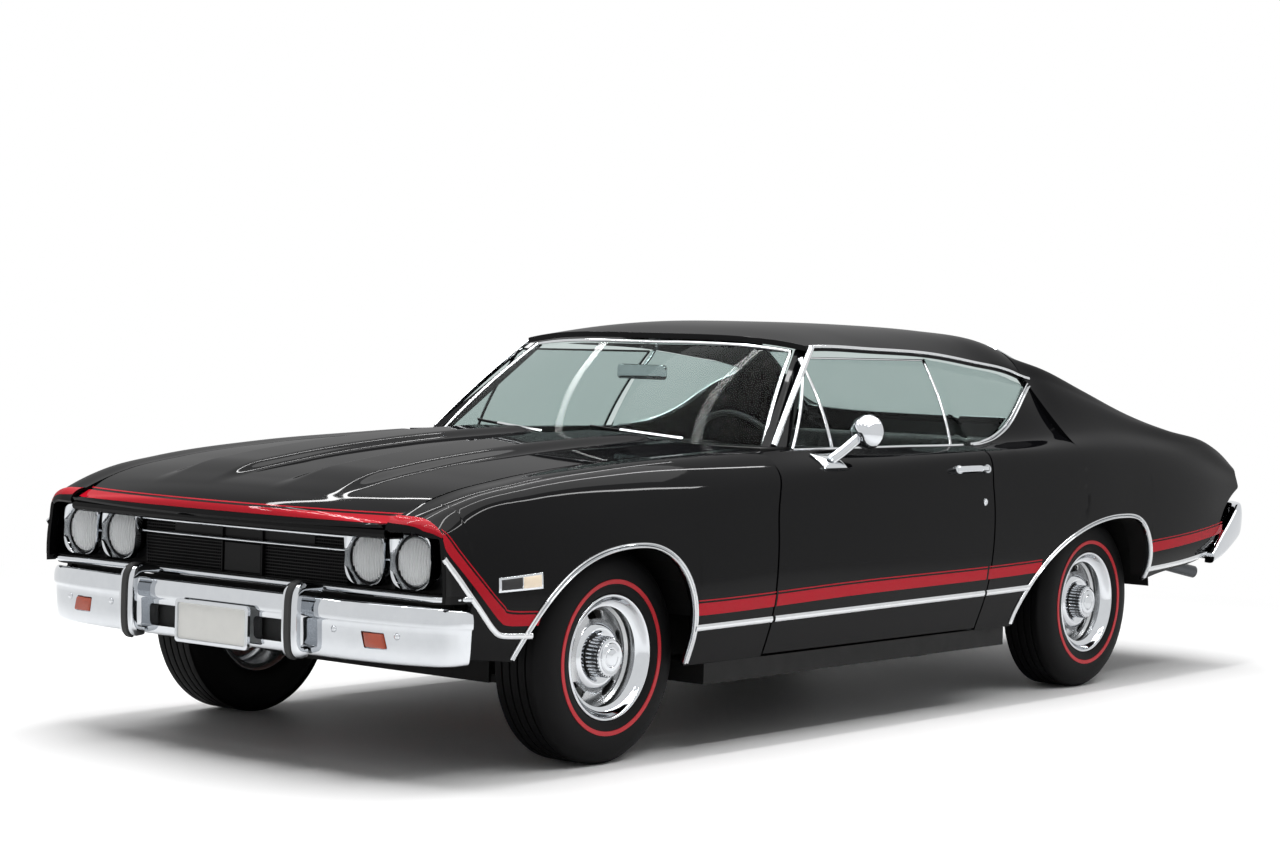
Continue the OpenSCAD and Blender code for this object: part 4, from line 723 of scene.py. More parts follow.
# Grille: a fine black mesh of moulded plastic between the lamps, with two bright mouldings across it.
# A plain square panel sits in the middle between thin posts; the lower moulding wraps round to the fenders.
# Moulded plastic: a dull black, just glossier than the shadow behind it.
grille_black = material("moulded_black_plastic", ("#080809", "#0e0e0f"), 3, (0.35, 0.5), 0.05,
                        **{"Specular IOR Level": 0.15})
GRILLE_HALF, GRILLE_X, GRILLE_BACK, GRILLE_FOOT, GRILLE_TOP, MESH = 434, 2292, 2262, 536, 700, 9.5
SILL_BEND, SILL_X, SILL_Y, SILL_Z = 50, 2318, 790, 532


def box(x0, x1, y0, y1, z0, z1):
    """A plain block, to be joined with others or rounded."""
    spots = [(x, y, z) for x in (x0, x1) for y in (y0, y1) for z in (z0, z1)]
    return spots, [(0, 1, 3, 2), (4, 6, 7, 5), (0, 4, 5, 1), (2, 3, 7, 6), (0, 2, 6, 4), (1, 5, 7, 3)]


def sweep(path, out, section):
    """A section of (across, up) carried along a path, its up side to out."""
    path, section = np.asarray(path, float), np.asarray(section, float)
    ahead = np.gradient(path, axis=0)
    ahead /= np.linalg.norm(ahead, axis=1, keepdims=True)
    up = np.broadcast_to(np.asarray(out, float), path.shape)
    up = up - (up * ahead).sum(1, keepdims=True) * ahead
    up /= np.linalg.norm(up, axis=1, keepdims=True)
    across = np.cross(ahead, up)
    rings = path[:, None] + across[:, None] * section[None, :, :1] + up[:, None] * section[None, :, 1:]
    return rings, capped(len(path), len(section))


def bead(width, height):
    """A half round section with a flat foot sunk 2 mm."""
    a = np.linspace(0, math.pi, 9)
    arc = np.stack([-np.cos(a) * width / 2, np.sin(a) * height], -1)
    return np.vstack([[(-width / 2, -2)], arc, [(width / 2, -2)]])


def moulding(name, path, out, section, finish=chrome, body="body", mirror=False, replaced=()):
    """A bright strip of one section carried along a path."""
    return piece(name, *sweep(path, out, section), finish, body, "chrome", replaced, mirror=mirror)


bars = [box(GRILLE_BACK, GRILLE_X - 4, -GRILLE_HALF, GRILLE_HALF, z - 1.4, z + 1.4)
        for z in np.arange(545, GRILLE_TOP, MESH)]
bars += [box(GRILLE_BACK, GRILLE_X - 6, y - 1.2, y + 1.2, GRILLE_FOOT + 2, GRILLE_TOP - 2)
         for y in np.arange(-430, 431, MESH)]
bars += [box(GRILLE_BACK - 10, GRILLE_BACK, -GRILLE_HALF, GRILLE_HALF, GRILLE_FOOT, GRILLE_TOP)]
piece("grille_mesh", *joined(*bars), grille_black, "body", "grille_black", ("grille",))
panel = [box(GRILLE_BACK, GRILLE_X + 2, -78, 78, 548, 634),
         box(GRILLE_BACK, GRILLE_X + 6, -88, -83, GRILLE_FOOT, 686),
         box(GRILLE_BACK, GRILLE_X + 6, 83, 88, GRILLE_FOOT, 686),
         box(GRILLE_BACK, GRILLE_X - 1, -300, 300, 651, 678)]
piece("grille_panel", *joined(*panel), grille_black, "body", "grille_black", (), 2)
y = np.linspace(GRILLE_HALF + 2, -GRILLE_HALF - 2, 41)
for name, z, tall in (("upper", 684, 13), ("middle", 644, 9)):
    path = np.stack([GRILLE_X + 4 + 12 * (1 - (y / 440) ** 2), y, 0 * y + z], -1)
    moulding("grille_moulding_" + name, path, (1, 0, 0), bead(tall, 6))
turn = np.linspace(0, math.pi / 2, 12)[1:]
bend = np.stack([SILL_BEND * (np.cos(turn) - 1), 66 * np.sin(turn), 3 * np.sin(turn)], -1)
bend += (SILL_X, SILL_Y, SILL_Z)
path = np.concatenate([[(SILL_X, y, SILL_Z) for y in np.linspace(0, SILL_Y, 24)], bend,
                       [(x, 856 + (2268 - x) * 0.55, 536) for x in (2260, 2250, 2240)]])
outward = np.gradient(path, axis=0)
outward = np.stack([outward[:, 1], -outward[:, 0], 0 * outward[:, 0]], -1)
backing = np.stack([path - (4, 0, 14), path + (-4, 0, 12)], 1)
for mirror, hand in HANDS:
    moulding("grille_moulding_lower_" + hand, path, outward, bead(18, 7), mirror=mirror)
    points, faces = shell(backing, backing - (30, 20, 0))
    piece("grille_sill_" + hand, points, faces, grille_black, "body", "grille_black", mirror=mirror)

# Headlamps: four sealed beams, each a fluted glass lens over a bright bowl in its own chromed bezel.
# A bezel is die cast, squared at the top with a flare towards the car's middle and round at the bottom.
# Pressed glass: clear, with a ripple that breaks up the bowl behind it.
lens_glass = material("fluted_lens_glass", ("#f4f6f7", "#ffffff"), 5, (0.02, 0.06), 0.8,
                      **{"Transmission Weight": 1.0, "IOR": 1.15})
# The flutes are half frosted, so that they show as pale upright lines.
flute_glass = material("pressed_flute_glass", ("#f1f3f4", "#ffffff"), 7, (0.05, 0.12), 0.3,
                       **{"Transmission Weight": 0.45, "IOR": 1.3})
# Vapour-silvered glass: a bright, soft mirror.
bowl_silver = material("vapour_silvered_bowl", ("#dfe2e4", "#eef0f1"), 9, (0.25, 0.4), 0.6, Metallic=0.55)
LAMPS, LAMP_Z, LENS_RADIUS, AROUND = (("inner", 528), ("outer", 708)), 630, 66, 72
# Columns: x, share of the squared outline, radius of the round part it blends to.
BEZEL = [(2252, 1.0, 83), (2302, 1.0, 83), (2314, 0.985, 82), (2320, 0.95, 80), (2319, 0.6, 80),
         (2313, 0.25, 78), (2304, 0.0, 75.5), (2296, 0.0, 73.5), (2262, 0.0, 73)]
# Columns of a form: radius, x.
LENS = [(0.01, 2314), (30, 2312), (52, 2307), (66, 2300), (72, 2293), (71, 2289), (64, 2296), (50, 2303),
        (30, 2308), (0.01, 2310)]
BOWL = [(71, 2289), (60, 2276), (40, 2264), (18, 2258), (0.01, 2256), (0.01, 2252), (72, 2252)]
GASKET = [(73.2, 2297), (71, 2299), (70.5, 2295), (73.2, 2288)]


def facing(form, steps, at):
    """A profile of (radius, x) turned about an axis that runs fore and aft through a place."""
    points, faces = lathe(form, steps)
    return points[:, [1, 0, 2]] + at, faces


angle = np.linspace(0, 2 * math.pi, AROUND, endpoint=False)
ca, sa = np.cos(angle), np.sin(angle)
power = np.where(sa > 0, 6.0, 3.2)
square_reach = (np.abs(ca) ** power + np.abs(sa) ** power) ** (-1 / power)
flare = 1 + 0.10 * np.exp(-(((np.degrees(angle) - 138) / 20) ** 2))
outline = square_reach * flare * np.where(sa > 0, 0.96, 0.97)
backs = joined(box(2251, 2268, 436, 800, 536, 704), box(2251, 2290, 612, 624, 545, 704))
bar = [(2300, y, LAMP_Z) for y in np.linspace(608, 628, 4)]
for mirror, hand in HANDS:
    flutes = []
    for place, lamp_y in LAMPS:
        rings = []
        for x, square, radius in BEZEL:
            r = radius * (square * outline + (1 - square))
            rings.append(np.stack([np.full(AROUND, x), lamp_y + r * ca, LAMP_Z + r * sa], -1))
        name = f"{hand}_{place}"
        faces = quads(len(BEZEL), AROUND, closed=True)
        piece("bezel_" + name, np.array(rings), faces, chrome, "body", "chrome", ("lamp_bezels",), sharp=50,
              mirror=mirror)
        for part, finish, form, slot, replaced in (("lens", lens_glass, LENS, "lamp_glass", ("headlamps",)),
                                                   ("bowl", bowl_silver, BOWL, "lamp_glass", ()),
                                                   ("gasket", groove_black, GASKET, "trim_black", ())):
            points, faces = facing(form, 64, (0, lamp_y, LAMP_Z))
            piece(f"{part}_{name}", points, faces, finish, "body", slot, replaced, mirror=mirror)
        for across in np.arange(-60, 61, 10.0):
            half = math.sqrt(LENS_RADIUS ** 2 - across ** 2)
            z = np.linspace(-half, half, 13)
            bulge = 2297 + 8 * (1 - (across ** 2 + z * z) / LENS_RADIUS ** 2)
            spots = np.stack([bulge, lamp_y + across + 0 * z, LAMP_Z + z], -1)
            flutes.append(sweep(spots, (1, 0, 0), bead(9.6, 2.4)))
    piece("lens_flutes_" + hand, *joined(*flutes), flute_glass, "body", "lamp_glass", mirror=mirror)
    moulding("lamp_bar_" + hand, bar, (1, 0, 0), bead(9, 5), mirror=mirror)
    piece("lamp_backing_" + hand, *backs, grille_black, "body", "grille_black", mirror=mirror)

# Bumpers: pressed steel, polished and chromed, bolted to the frame's horns. The front one has a rounded brow
# over a flatter lower face with two openings beside the plate; the rear one is a plain rounded blade.
BLADE_DEPTH, OPENING_Y, OPENING_Z = 42, 226, 404
TURN_Y, TURN_Z, TURN_LEAN = 623, 407, -0.25
# Sections. Columns: share of the depth behind the face, share of the half height.
BROW = [(1, 0.94), (0.35, 1), (0.1, 0.88), (0, 0.64), (0.02, 0.34), (0.15, 0.24), (0.26, -0.7), (0.45, -1),
        (1, -0.94)]
ROUND = [(1, 0.94), (0.3, 1), (0.06, 0.72), (0, 0.1), (0.1, -0.7), (0.4, -1), (1, -0.94)]
# Columns: y, x, heading of the outer face in degrees, middle z, half height.
FRONT_BLADE = [(0, 2392, 0, 428, 84), (450, 2392, 0, 428, 84), (560, 2386, 5, 428, 84),
               (690, 2368, 12, 428, 84), (786, 2341, 22, 428, 83),
               (836, 2314, 42, 428, 82), (860, 2282, 68, 427, 80),
               (868, 2254, 83, 426, 78), (871, 2230, 88, 425, 76)]
REAR_BLADE = [(0, 2480, 0, 598, 70), (520, 2480, 0, 598, 70), (650, 2472, 6, 598, 70),
              (780, 2462, 14, 600, 70), (868, 2436, 34, 603, 67),
              (912, 2382, 66, 596, 64), (926, 2300, 84, 558, 58),
              (931, 2205, 88, 505, 44), (932, 2110, 90, 455, 20)]
BOLT = [(0.01, 6), (5, 5.4), (8.5, 3), (10, 0), (10, -4), (0.01, -4)]


def blade(stations, section):
    """A bumper from side to side: a section carried through the stations of its left half."""
    section = through(section, (len(section) - 1) * 5 + 1)
    half = through(stations, (len(stations) - 1) * 8 + 1)
    full = np.vstack([half[:0:-1] * (-1, 1, -1, 1, 1), half])
    y, x, heading, z, tall = (c[:, None] for c in full.T)
    d, h = section[:, 0] * BLADE_DEPTH, section[:, 1]
    heading = np.radians(heading)
    grid = np.stack([x - np.cos(heading) * d, y - np.sin(heading) * d, z + tall * h], -1)
    return grid, capped(*grid.shape[:2])


def carve(target, *cutters):
    """Cuts closed shapes of points and faces out of a piece."""
    for points, faces in cutters:
        data = bpy.data.meshes.new("cutter")
        data.from_pydata((np.asarray(points, float).reshape(-1, 3) / 1000).tolist(), [], faces)
        work = bmesh.new()
        work.from_mesh(data)
        bmesh.ops.recalc_face_normals(work, faces=work.faces)
        work.to_mesh(data)
        work.free()
        tool = bpy.data.objects.new("cutter", data)
        bpy.context.scene.collection.objects.link(tool)
        cut = target.modifiers.new("cut", "BOOLEAN")
        cut.operation = "DIFFERENCE"
        cut.object = tool
        cut.solver = "EXACT"
        bpy.context.view_layer.update()
        fresh = bpy.data.meshes.new_from_object(target.evaluated_get(bpy.context.evaluated_depsgraph_get()))
        target.modifiers.remove(cut)
        target.data = fresh
        bpy.data.objects.remove(tool)
    target.data.shade_smooth()
    target.data.set_sharp_from_angle(angle=math.radians(CREASE))


def rounded(half_y, half_z, corner, lean=0.0, steps=6):
    """Outline of a rounded oblong about the origin in y and z."""
    spots = []
    for sy, sz, start in ((1, 1, 0), (-1, 1, 90), (-1, -1, 180), (1, -1, 270)):
        for a in np.radians(np.linspace(start, start + 90, steps)):
            z = sz * (half_z - corner) + corner * math.sin(a)
            spots.append((sy * (half_y - corner) + corner * math.cos(a) + lean * z, z))
    return np.array(spots)


def stacked(y, z, *levels):
    """Rings of points about a place, one for each level of an x and an outline."""
    return np.array([np.column_stack([np.full(len(o), x), o + (y, z)]) for x, o in levels])


def prism(outline, y, z, x0, x1):
    """An outline carried straight from x0 to x1."""
    return stacked(y, z, (x0, outline), (x1, outline)), capped(2, len(outline))


front_blade = piece("front_blade", *blade(FRONT_BLADE, BROW), chrome, "body", "chrome", ("front_bumper",))
window = rounded(76, 33, 14)
lamp_hole = rounded(40, 24, 4, TURN_LEAN)
carve(front_blade, *(prism(window, s * OPENING_Y, OPENING_Z, 2330, 2420) for s in (1, -1)),
      *(prism(lamp_hole * (s, 1), s * TURN_Y, TURN_Z, 2356, 2420) for s in (1, -1)))
points, faces = blade(REAR_BLADE, ROUND)
piece("rear_blade", points * (-1, 1, 1), faces, chrome, "body", "chrome", ("rear_bumper",))
piece("blade_backing", *box(2335, 2340, -320, 320, 362, 446), groove_black, "body", "trim_black", (), 2)
bolts = [facing(BOLT, 20, (x, s * y, z)) for s in (1, -1) for y, x, z in ((478, 2384, 428), (700, 2358, 424))]
piece("bumper_bolts", *joined(*bolts), chrome, "body", "chrome")

# Bumper guards: chromed castings bolted over the blade, each with a black rubber strip down its front face.
# They stand a little above the blade and turn back over it at top and bottom.
# Extruded rubber: matt black, a shade lighter than the grille behind.
rubber_black = material("black_strip_rubber", ("#0d0d0d", "#161616"), 4, (0.5, 0.65), 0.1)
GUARD_Y, GUARD_FACE = 350, 2380
# The guard's front line. Columns: how far ahead of the blade's face, z.
GUARD = [(4, 338), (34, 336), (54, 352), (61, 390), (62, 450), (60, 505), (50, 535), (26, 551), (-30, 549),
         (-52, 541)]
GUARD_SECTION = [(-29, -24), (-29, -7), (-26, -2), (-20, 0), (20, 0), (26, -2), (29, -7), (29, -24)]
STRIP_SECTION = [(-13, -3), (-13, 3), (-9, 6), (9, 6), (13, 3), (13, -3)]
line = through(GUARD, 55)
rim = np.gradient(line, axis=0)
rim /= np.linalg.norm(rim, axis=1, keepdims=True)
outward = np.stack([rim[:, 1], 0 * rim[:, 0], -rim[:, 0]], -1)
path = np.stack([line[:, 0] + GUARD_FACE, np.full(55, GUARD_Y), line[:, 1]], -1)
for mirror, hand in HANDS:
    moulding("guard_" + hand, path, outward, GUARD_SECTION, mirror=mirror, replaced=("bumper_guards",))
    piece("guard_strip_" + hand, *sweep(path[6:44], outward[6:44], STRIP_SECTION), rubber_black, "body",
          "trim_black", mirror=mirror)

# Turn lamps: amber moulded lenses with a prismatic face, sunk in the bumper's lower face.
# Each is held from behind by its bulb housing; its ends are cut on a slant.
# Amber acrylic: a deep orange glow under a clear gloss.
amber = material("amber_acrylic", ("#c23c08", "#d8500e"), 4, (0.05, 0.15), 0.4,
                 **{"Transmission Weight": 0.35, "Coat Weight": 0.5})
# Columns: x, share of the outline.
TURN_LENS = ((2352, 1), (2370, 1), (2374, 0.93), (2375, 0.8))
levels = [(x, rounded(37 * k, 21 * k, 4, TURN_LEAN)) for x, k in TURN_LENS]
for mirror, hand in HANDS:
    piece("turn_lens_" + hand, stacked(TURN_Y, TURN_Z, *levels), capped(4, 24), amber, "body", "lamp_amber",
          ("turn_lamps",), mirror=mirror)

# Plate: a pressed aluminium blank, enamelled white, in a bright frame.
# It is screwed to a steel bracket in the middle of the bumper.
# Stoved enamel: a flat warm white with a low gloss.
plate_white = material("plate_enamel", ("#e4e4e0", "#ecece8"), 30, (0.25, 0.35), 0.05)
PLATE_Z, PLATE_X = 401, 2404
# The frame's section. Columns: x, half width, half height, corner.
PLATE_FRAME = ((2403, 156, 64, 12), (2413, 156, 64, 12), (2414, 154, 62, 11), (2414, 146, 54, 8),
               (2409, 145, 53, 8))
piece("plate_blank", *prism(rounded(150, 58, 10), 0, PLATE_Z, PLATE_X, PLATE_X + 5), plate_white, "body",
      "plate_white", ("number_plate",), 1)
rings = stacked(0, PLATE_Z, *((x, rounded(*size)) for x, *size in PLATE_FRAME))
piece("plate_frame", rings, quads(5, 24, closed=True), chrome, "body", "chrome", (), sharp=50)
piece("plate_bracket", *box(2380, PLATE_X + 1, -50, 50, 395, 435), groove_black, "body", "trim_black", (), 2)

# Side mouldings: stainless strips rolled to a half round and clipped to studs on the panels.
# A doubled lip edges each wheel arch; a diagonal strip runs from the lamps to the arch, a thin one along the
# sill, and a patch of grille mesh fills the corner beside the lamps.
# Polished stainless: a bright mirror, a little warmer and softer than chrome.
stainless = material("polished_stainless", ("#c6c8ca", "#d2d4d6"), 20, (0.06, 0.12), 0.0, Metallic=1.0)
LIP_OUT = 7
# The lip's section. Columns: across, up.
LIP = np.array([(-9, -3), (-9, 3), (-7.5, 5.5), (-4.5, 6), (-2.5, 3), (0, -1), (2.5, 3), (4.5, 6), (7.5, 5.5),
                (9, 3), (9, -3)])
# Columns: x, z.
SILL_TRIM = [(-2128, 471), (-1900, 453), (-1477, 436), (-716, 419), (300, 408), (1311, 398)]
NOSE_TRIM = [(2332, 652), (2316, 632), (2282, 590), (2247, 547), (2180, 472), (2150, 443), (2128, 429),
             (2100, 424), (2060, 422), (2012, 420)]


def on_side(lines, x, z):
    """Points on the left side at x and z, and the way the surface faces there."""
    x, z = np.asarray(x, float), np.asarray(z, float)
    t = lift(ribs(lines, x), z)
    fore = side(lines, x + 2, t) - side(lines, x - 2, t)
    up = side(lines, x, np.minimum(t + 0.03, 5)) - side(lines, x, np.maximum(t - 0.03, 0))
    face = np.cross(up, fore)
    face /= np.linalg.norm(face, axis=-1, keepdims=True)
    face *= np.sign(face[..., 1:2])
    return side(lines, x, t), face


def away_from(edge):
    """The way out of an arch, square to its edge in x and z."""
    ahead = np.gradient(edge, axis=0)
    return np.stack([-ahead[:, 1], ahead[:, 0]], -1) / np.linalg.norm(ahead, axis=1, keepdims=True)


corner = np.linspace(2252, NOSE_END, 20)
mesh_low = np.stack([np.linspace(2248, NOSE_END, 20), np.full(20, 545.0)], -1)
mesh_high = np.stack([corner, np.interp(corner, (2247, 2282, 2316, 2332), (547, 582, 624, 642))], -1)
for mirror, hand in HANDS:
    for name, lines, shape in (("front", FRONT, FRONT_ARCH), ("rear", REAR, REAR_ARCH)):
        edge = arch(shape, np.linspace(1, 179, 110))
        line = edge + LIP_OUT * away_from(edge)
        line = line[edge[:, 1] > curve(SILL, edge[:, 0])[:, 1] + 4]
        moulding(f"arch_lip_{name}_{hand}", *on_side(lines, *line.T), LIP, stainless, mirror=mirror)
    line = through(NOSE_TRIM, 80)
    moulding("nose_trim_" + hand, *on_side(FRONT, *line.T), bead(19, 6), stainless, mirror=mirror)
    for name, lines, body, first, last in (
            ("fender", FRONT, "body", FENDER_REAR + 3, 1300),
            ("door", FRONT, "door_" + hand, DOOR_REAR + 3, DOOR_FRONT - 3),
            ("quarter_front", REAR, "body", -650, QUARTER_FRONT - 3),
            ("quarter_rear", REAR, "body", -2120, -1545)):
        x = np.linspace(first, last, 50)
        spots, face = on_side(lines, x, curve(SILL_TRIM, x)[:, 0])
        moulding(f"sill_trim_{name}_{hand}", spots, face, bead(23, 7), stainless, body, mirror)
    strip("nose_mesh_" + hand, FRONT, mesh_low, mesh_high, grille_black, "body", "grille_black", mirror, 0.8)

# Side marker: a pale lens and a dark panel in one chromed frame, screwed through the fender.
# The pieces are set one over the other, each standing a little prouder than the last.
# Pale acrylic: a creamy white under a clear gloss.
marker_lens = material("pale_marker_acrylic", ("#f0dcc0", "#f6e6cf"), 8, (0.08, 0.16), 0.2,
                       **{"Coat Weight": 0.5})
# Its two ends. Columns: x, lower z, upper z.
MARKER = np.array([(2152, 550, 591), (1994, 556, 602)])
rows = np.linspace(0, 1, 5)
rim_of = [np.minimum(np.arange(n), np.arange(n)[::-1]) for n in (14, 5)]
on_rim = np.minimum.outer(*rim_of) == 0
for mirror, hand in HANDS:
    for name, first, last, inset, proud, finish, slot in (
            ("frame", 0, 1, 0, 6, chrome, "chrome"), ("panel", 0.05, 0.52, 6, 8, groove_black, "trim_black"),
            ("lens", 0.53, 0.95, 6, 9, marker_lens, "lamp_amber")):
        share = np.linspace(first, last, 14)[:, None]
        x, low, high = (MARKER[0] + (MARKER[1] - MARKER[0]) * share).T[..., None]
        z = (low + inset) * (1 - rows) + (high - inset) * rows
        face, way = on_side(FRONT, x + 0 * rows, z)
        points, faces = shell(face + way * (proud - 2.5 * on_rim)[..., None], face - way * 3)
        piece(f"marker_{name}_{hand}", points, faces, finish, "body", slot, (), 0.8, mirror=mirror)

# Window trim: bright drip rails, windshield and rear window reveals, vent bars and the belt strip.
# They are rolled stainless over black rubber; the quarter window has a doubled strip on its trailing edge.
x = np.linspace(300, -1066, 90)
ridge = curve(RIDGE, x)
rail = np.stack([x, ridge[:, 0] + 3, ridge[:, 1] - 4], -1)
climb = np.linspace(0, 1, 24)[:, None]
post = np.array((668, 752, 936.0)) * (1 - climb) + np.array((296, 627, 1258.0)) * climb
post += 4 * climb * (1 - climb) * (10, 6, 0)
screen_edge = np.concatenate([screen[::-1, 0], screen[0, 1:-1], screen[:, -1]])
back_edge = np.concatenate([back_light[::-1, 0], back_light[0, 1:-1], back_light[:, -1],
                            back_light[-1, -2::-1]])
moulding("windshield_reveal", screen_edge, (1, 0, 0.9), bead(15, 5), stainless)
moulding("back_reveal", back_edge, (-0.5, 0, 1), bead(16, 4), stainless)
edge_x = np.linspace(-1032, -442, 50)
edge_t = curve(WINDOW_EDGE, edge_x)[:, 0]
window_line = side(REAR, edge_x, edge_t - 0.03)
window_up = side(REAR, edge_x, edge_t) - side(REAR, edge_x, edge_t - 0.06)
window_face = np.cross(np.gradient(window_line, axis=0), window_up)
window_face *= np.sign(window_face[:, 1:2])
x = np.linspace(DOOR_REAR - 52, 640, 60)
belt_line = np.column_stack([x, curve(BELT, x) + (-4, 1)])
head_line = np.stack([np.linspace(350, -394, 30), np.full(30, 626.0), np.full(30, 1222.0)], -1)
u = np.linspace(0, 1, 20)[:, None]
# Bars up the door glass. Columns: name, foot x, head x, head z, width.
GLASS_BARS = (("vent_bar", 398, 366, 1219, 15), ("vent_edge", 622, 350, 1221, 11),
              ("glass_edge", -334, -394, 1222, 13))
for mirror, hand in HANDS:
    door = "door_" + hand
    moulding("drip_rail_" + hand, rail, (0, 1, 0.15), bead(13, 7), stainless, mirror=mirror)
    moulding("pillar_trim_" + hand, post, (0.55, 1, 0.2), bead(22, 6), stainless, mirror=mirror)
    moulding("quarter_trim_" + hand, window_line, window_face, LIP * (1.1, 1), stainless, mirror=mirror)
    moulding("belt_trim_" + hand, belt_line, (0, 0.5, 1), bead(12, 4), stainless, door, mirror)
    for name, low_x, high_x, high_z, wide in GLASS_BARS:
        path = np.array((low_x, GLASS_Y, 926)) * (1 - u) + np.array((high_x, 627, high_z)) * u
        path = path + GLASS_BOW * u * (1 - u) * (0, 1, 0)
        moulding(f"{name}_{hand}", path, (0, 1, 0.45), bead(wide, 4), stainless, door, mirror)
    moulding("glass_top_" + hand, head_line, (0, 1, 0.4), bead(7, 3), stainless, door, mirror)

# Door furniture: a chromed pull handle on two feet, a lock cylinder, and a round mirror on the driver's door.
# All are die castings, polished and plated, screwed through the door's skin.
# Silvered glass: a mirror a little clearer and lighter than the chrome round it.
mirror_glass = material("silvered_mirror", ("#c8ccd0", "#d2d6d9"), 40, (0.02, 0.04), 0.0, Metallic=1.0)
HANDLE_REAR, HANDLE_LONG, HANDLE_Z = -346, 210, 848
HANDLE = [(-9, -5), (-10, 0), (-7, 4), (0, 5), (7, 4), (10, 0), (9, -5)]
LOCK = [(0.01, 5), (4, 4.5), (5, 3), (9, 4), (12, 2), (13, -3), (0.01, -3)]
MIRROR_AT = (363, 915, 985)
MIRROR_HEAD = [(0.01, 62), (24, 58), (42, 46), (53, 28), (58, 8), (58, 0), (55, -3), (52, 0), (0.01, 0)]
STALK = [(398, 912, 975), (430, 905, 955), (470, 898, 930), (520, 893, 905), (540, 890, 895)]


def circle(count):
    """Points round a circle of radius 1."""
    a = np.linspace(0, 2 * math.pi, count, endpoint=False)
    return np.stack([np.cos(a), np.sin(a)], -1)


x = np.linspace(HANDLE_REAR, HANDLE_REAR + HANDLE_LONG, 40)
s = (x - HANDLE_REAR) / HANDLE_LONG
spots, face = on_side(FRONT, x, 0 * x + HANDLE_Z)
bow = spots + face * (10 + 22 * np.sin(np.pi * np.clip((s - 0.04) / 0.92, 0, 1)) ** 0.35)[:, None]
feet, ways = on_side(FRONT, np.array([-330.0, -150.0]), np.full(2, float(HANDLE_Z)))
lock_at, _ = on_side(FRONT, np.array([-321.0]), np.array([735.0]))
for mirror, hand in HANDS:
    door = "door_" + hand
    moulding("handle_bar_" + hand, bow, face, HANDLE, body=door, mirror=mirror)
    for k in range(2):
        path = feet[k] + ways[k] * np.linspace(-4, 18, 6)[:, None]
        moulding(f"handle_foot_{k}_{hand}", path, (1, 0, 0), circle(16) * (15, 22), body=door, mirror=mirror)
    points, faces = lathe(LOCK, 24)
    piece("door_lock_" + hand, points + lock_at[0], faces, chrome, door, "chrome", mirror=mirror)
piece("mirror_head", *facing(MIRROR_HEAD, 48, MIRROR_AT), chrome, "door_left", "chrome", sharp=50)
silvered = facing([(52, 1), (52, -1), (0.01, -2), (0.01, 1)], 48, MIRROR_AT)
piece("mirror_glass", *silvered, mirror_glass, "door_left", "chrome")
moulding("mirror_stalk", through(STALK, 24), (0, 1, 0.3), circle(20) * (17, 9), body="door_left")
x, z = np.meshgrid(np.linspace(470, 590, 20), np.linspace(868, 912, 8), indexing="ij")
base, way = on_side(FRONT, x, z)
swell = np.sin(np.linspace(0, math.pi, 20))[:, None] * np.sin(np.linspace(0, math.pi, 8))
points, faces = shell(base + way * (1 + 9 * swell ** 0.5)[..., None], base - way * 3)
piece("mirror_base", points, faces, chrome, "door_left", "chrome")

# Seats: two buckets in front and a bench behind, in pleated black vinyl over foam on pressed steel pans.
# The covers are sewn in channels and pulled down at the edges, so each pad is crowned; the parcel shelf
# behind them is board trimmed in plain vinyl.
# Sewn vinyl: a soft black sheen, broken by the pleats.
cloth_black = material("pleated_black_vinyl", ("#131314", "#1c1c1e"), 2.5, (0.3, 0.45), 0.2)
SEAT_Y, PLEAT_DEPTH, SHELF_FOOT, SHELF_TOP = 402, 5, 900, 912
# Middle lines of the pads in side view. Columns: x, z.
CUSHION = [(-62, 472), (120, 476), (290, 486), (368, 478)]
BACKREST = [(-228, 898), (-205, 800), (-165, 660), (-122, 530)]
BENCH_CUSHION = [(-960, 560), (-860, 568), (-720, 582), (-606, 580)]
BENCH_BACK = [(-1128, 925), (-1098, 840), (-1056, 730), (-1018, 625)]


def pad(name, path, half, thick, crown, pleats, replaced=(), y0=0.0, mirror=False):
    """A stuffed pad about a path in x and z, sewn in pleats, its sides drawn in between the corners."""
    b = np.sin(np.linspace(-math.pi / 2, math.pi / 2, 29))
    a = np.linspace(-1, 1, 97)[None]
    spine = curve(np.column_stack([np.linspace(-1, 1, len(path)), path]), b)
    ahead = np.gradient(spine, axis=0)
    ahead /= np.linalg.norm(ahead, axis=1, keepdims=True)
    way = np.stack([-ahead[:, 1], ahead[:, 0]], -1)
    b = b[:, None]
    full = ((1 - np.abs(a) ** 7) * (1 - np.abs(b) ** 7)) ** 0.4
    sewn = np.abs(np.cos(np.pi * pleats * (a + 1) / 2)) ** 0.5
    field = np.clip((0.86 - np.maximum(np.abs(a), np.abs(b))) * 12, 0, 1)
    rise = thick / 2 * full + crown * full * (1 - a * a) * (1 - b * b) - PLEAT_DEPTH * (1 - sewn) * field
    y = y0 + a * half * (1 - 0.018 * (1 - b * b))
    sheets = []
    for h in (rise, -thick / 2 * full):
        sheets.append(np.stack([spine[:, :1] + way[:, :1] * h, y, spine[:, 1:] + way[:, 1:] * h], -1))
    points, faces = shell(*sheets)
    made = piece(name, points, faces, cloth_black, "body", "vinyl", replaced, mirror=mirror)
    work = bmesh.new()
    work.from_mesh(made.data)
    bmesh.ops.remove_doubles(work, verts=work.verts, dist=0.00005)
    work.to_mesh(made.data)
    work.free()
    smooth = made.modifiers.new("stuffing", "SUBSURF")
    smooth.levels = smooth.render_levels = 1


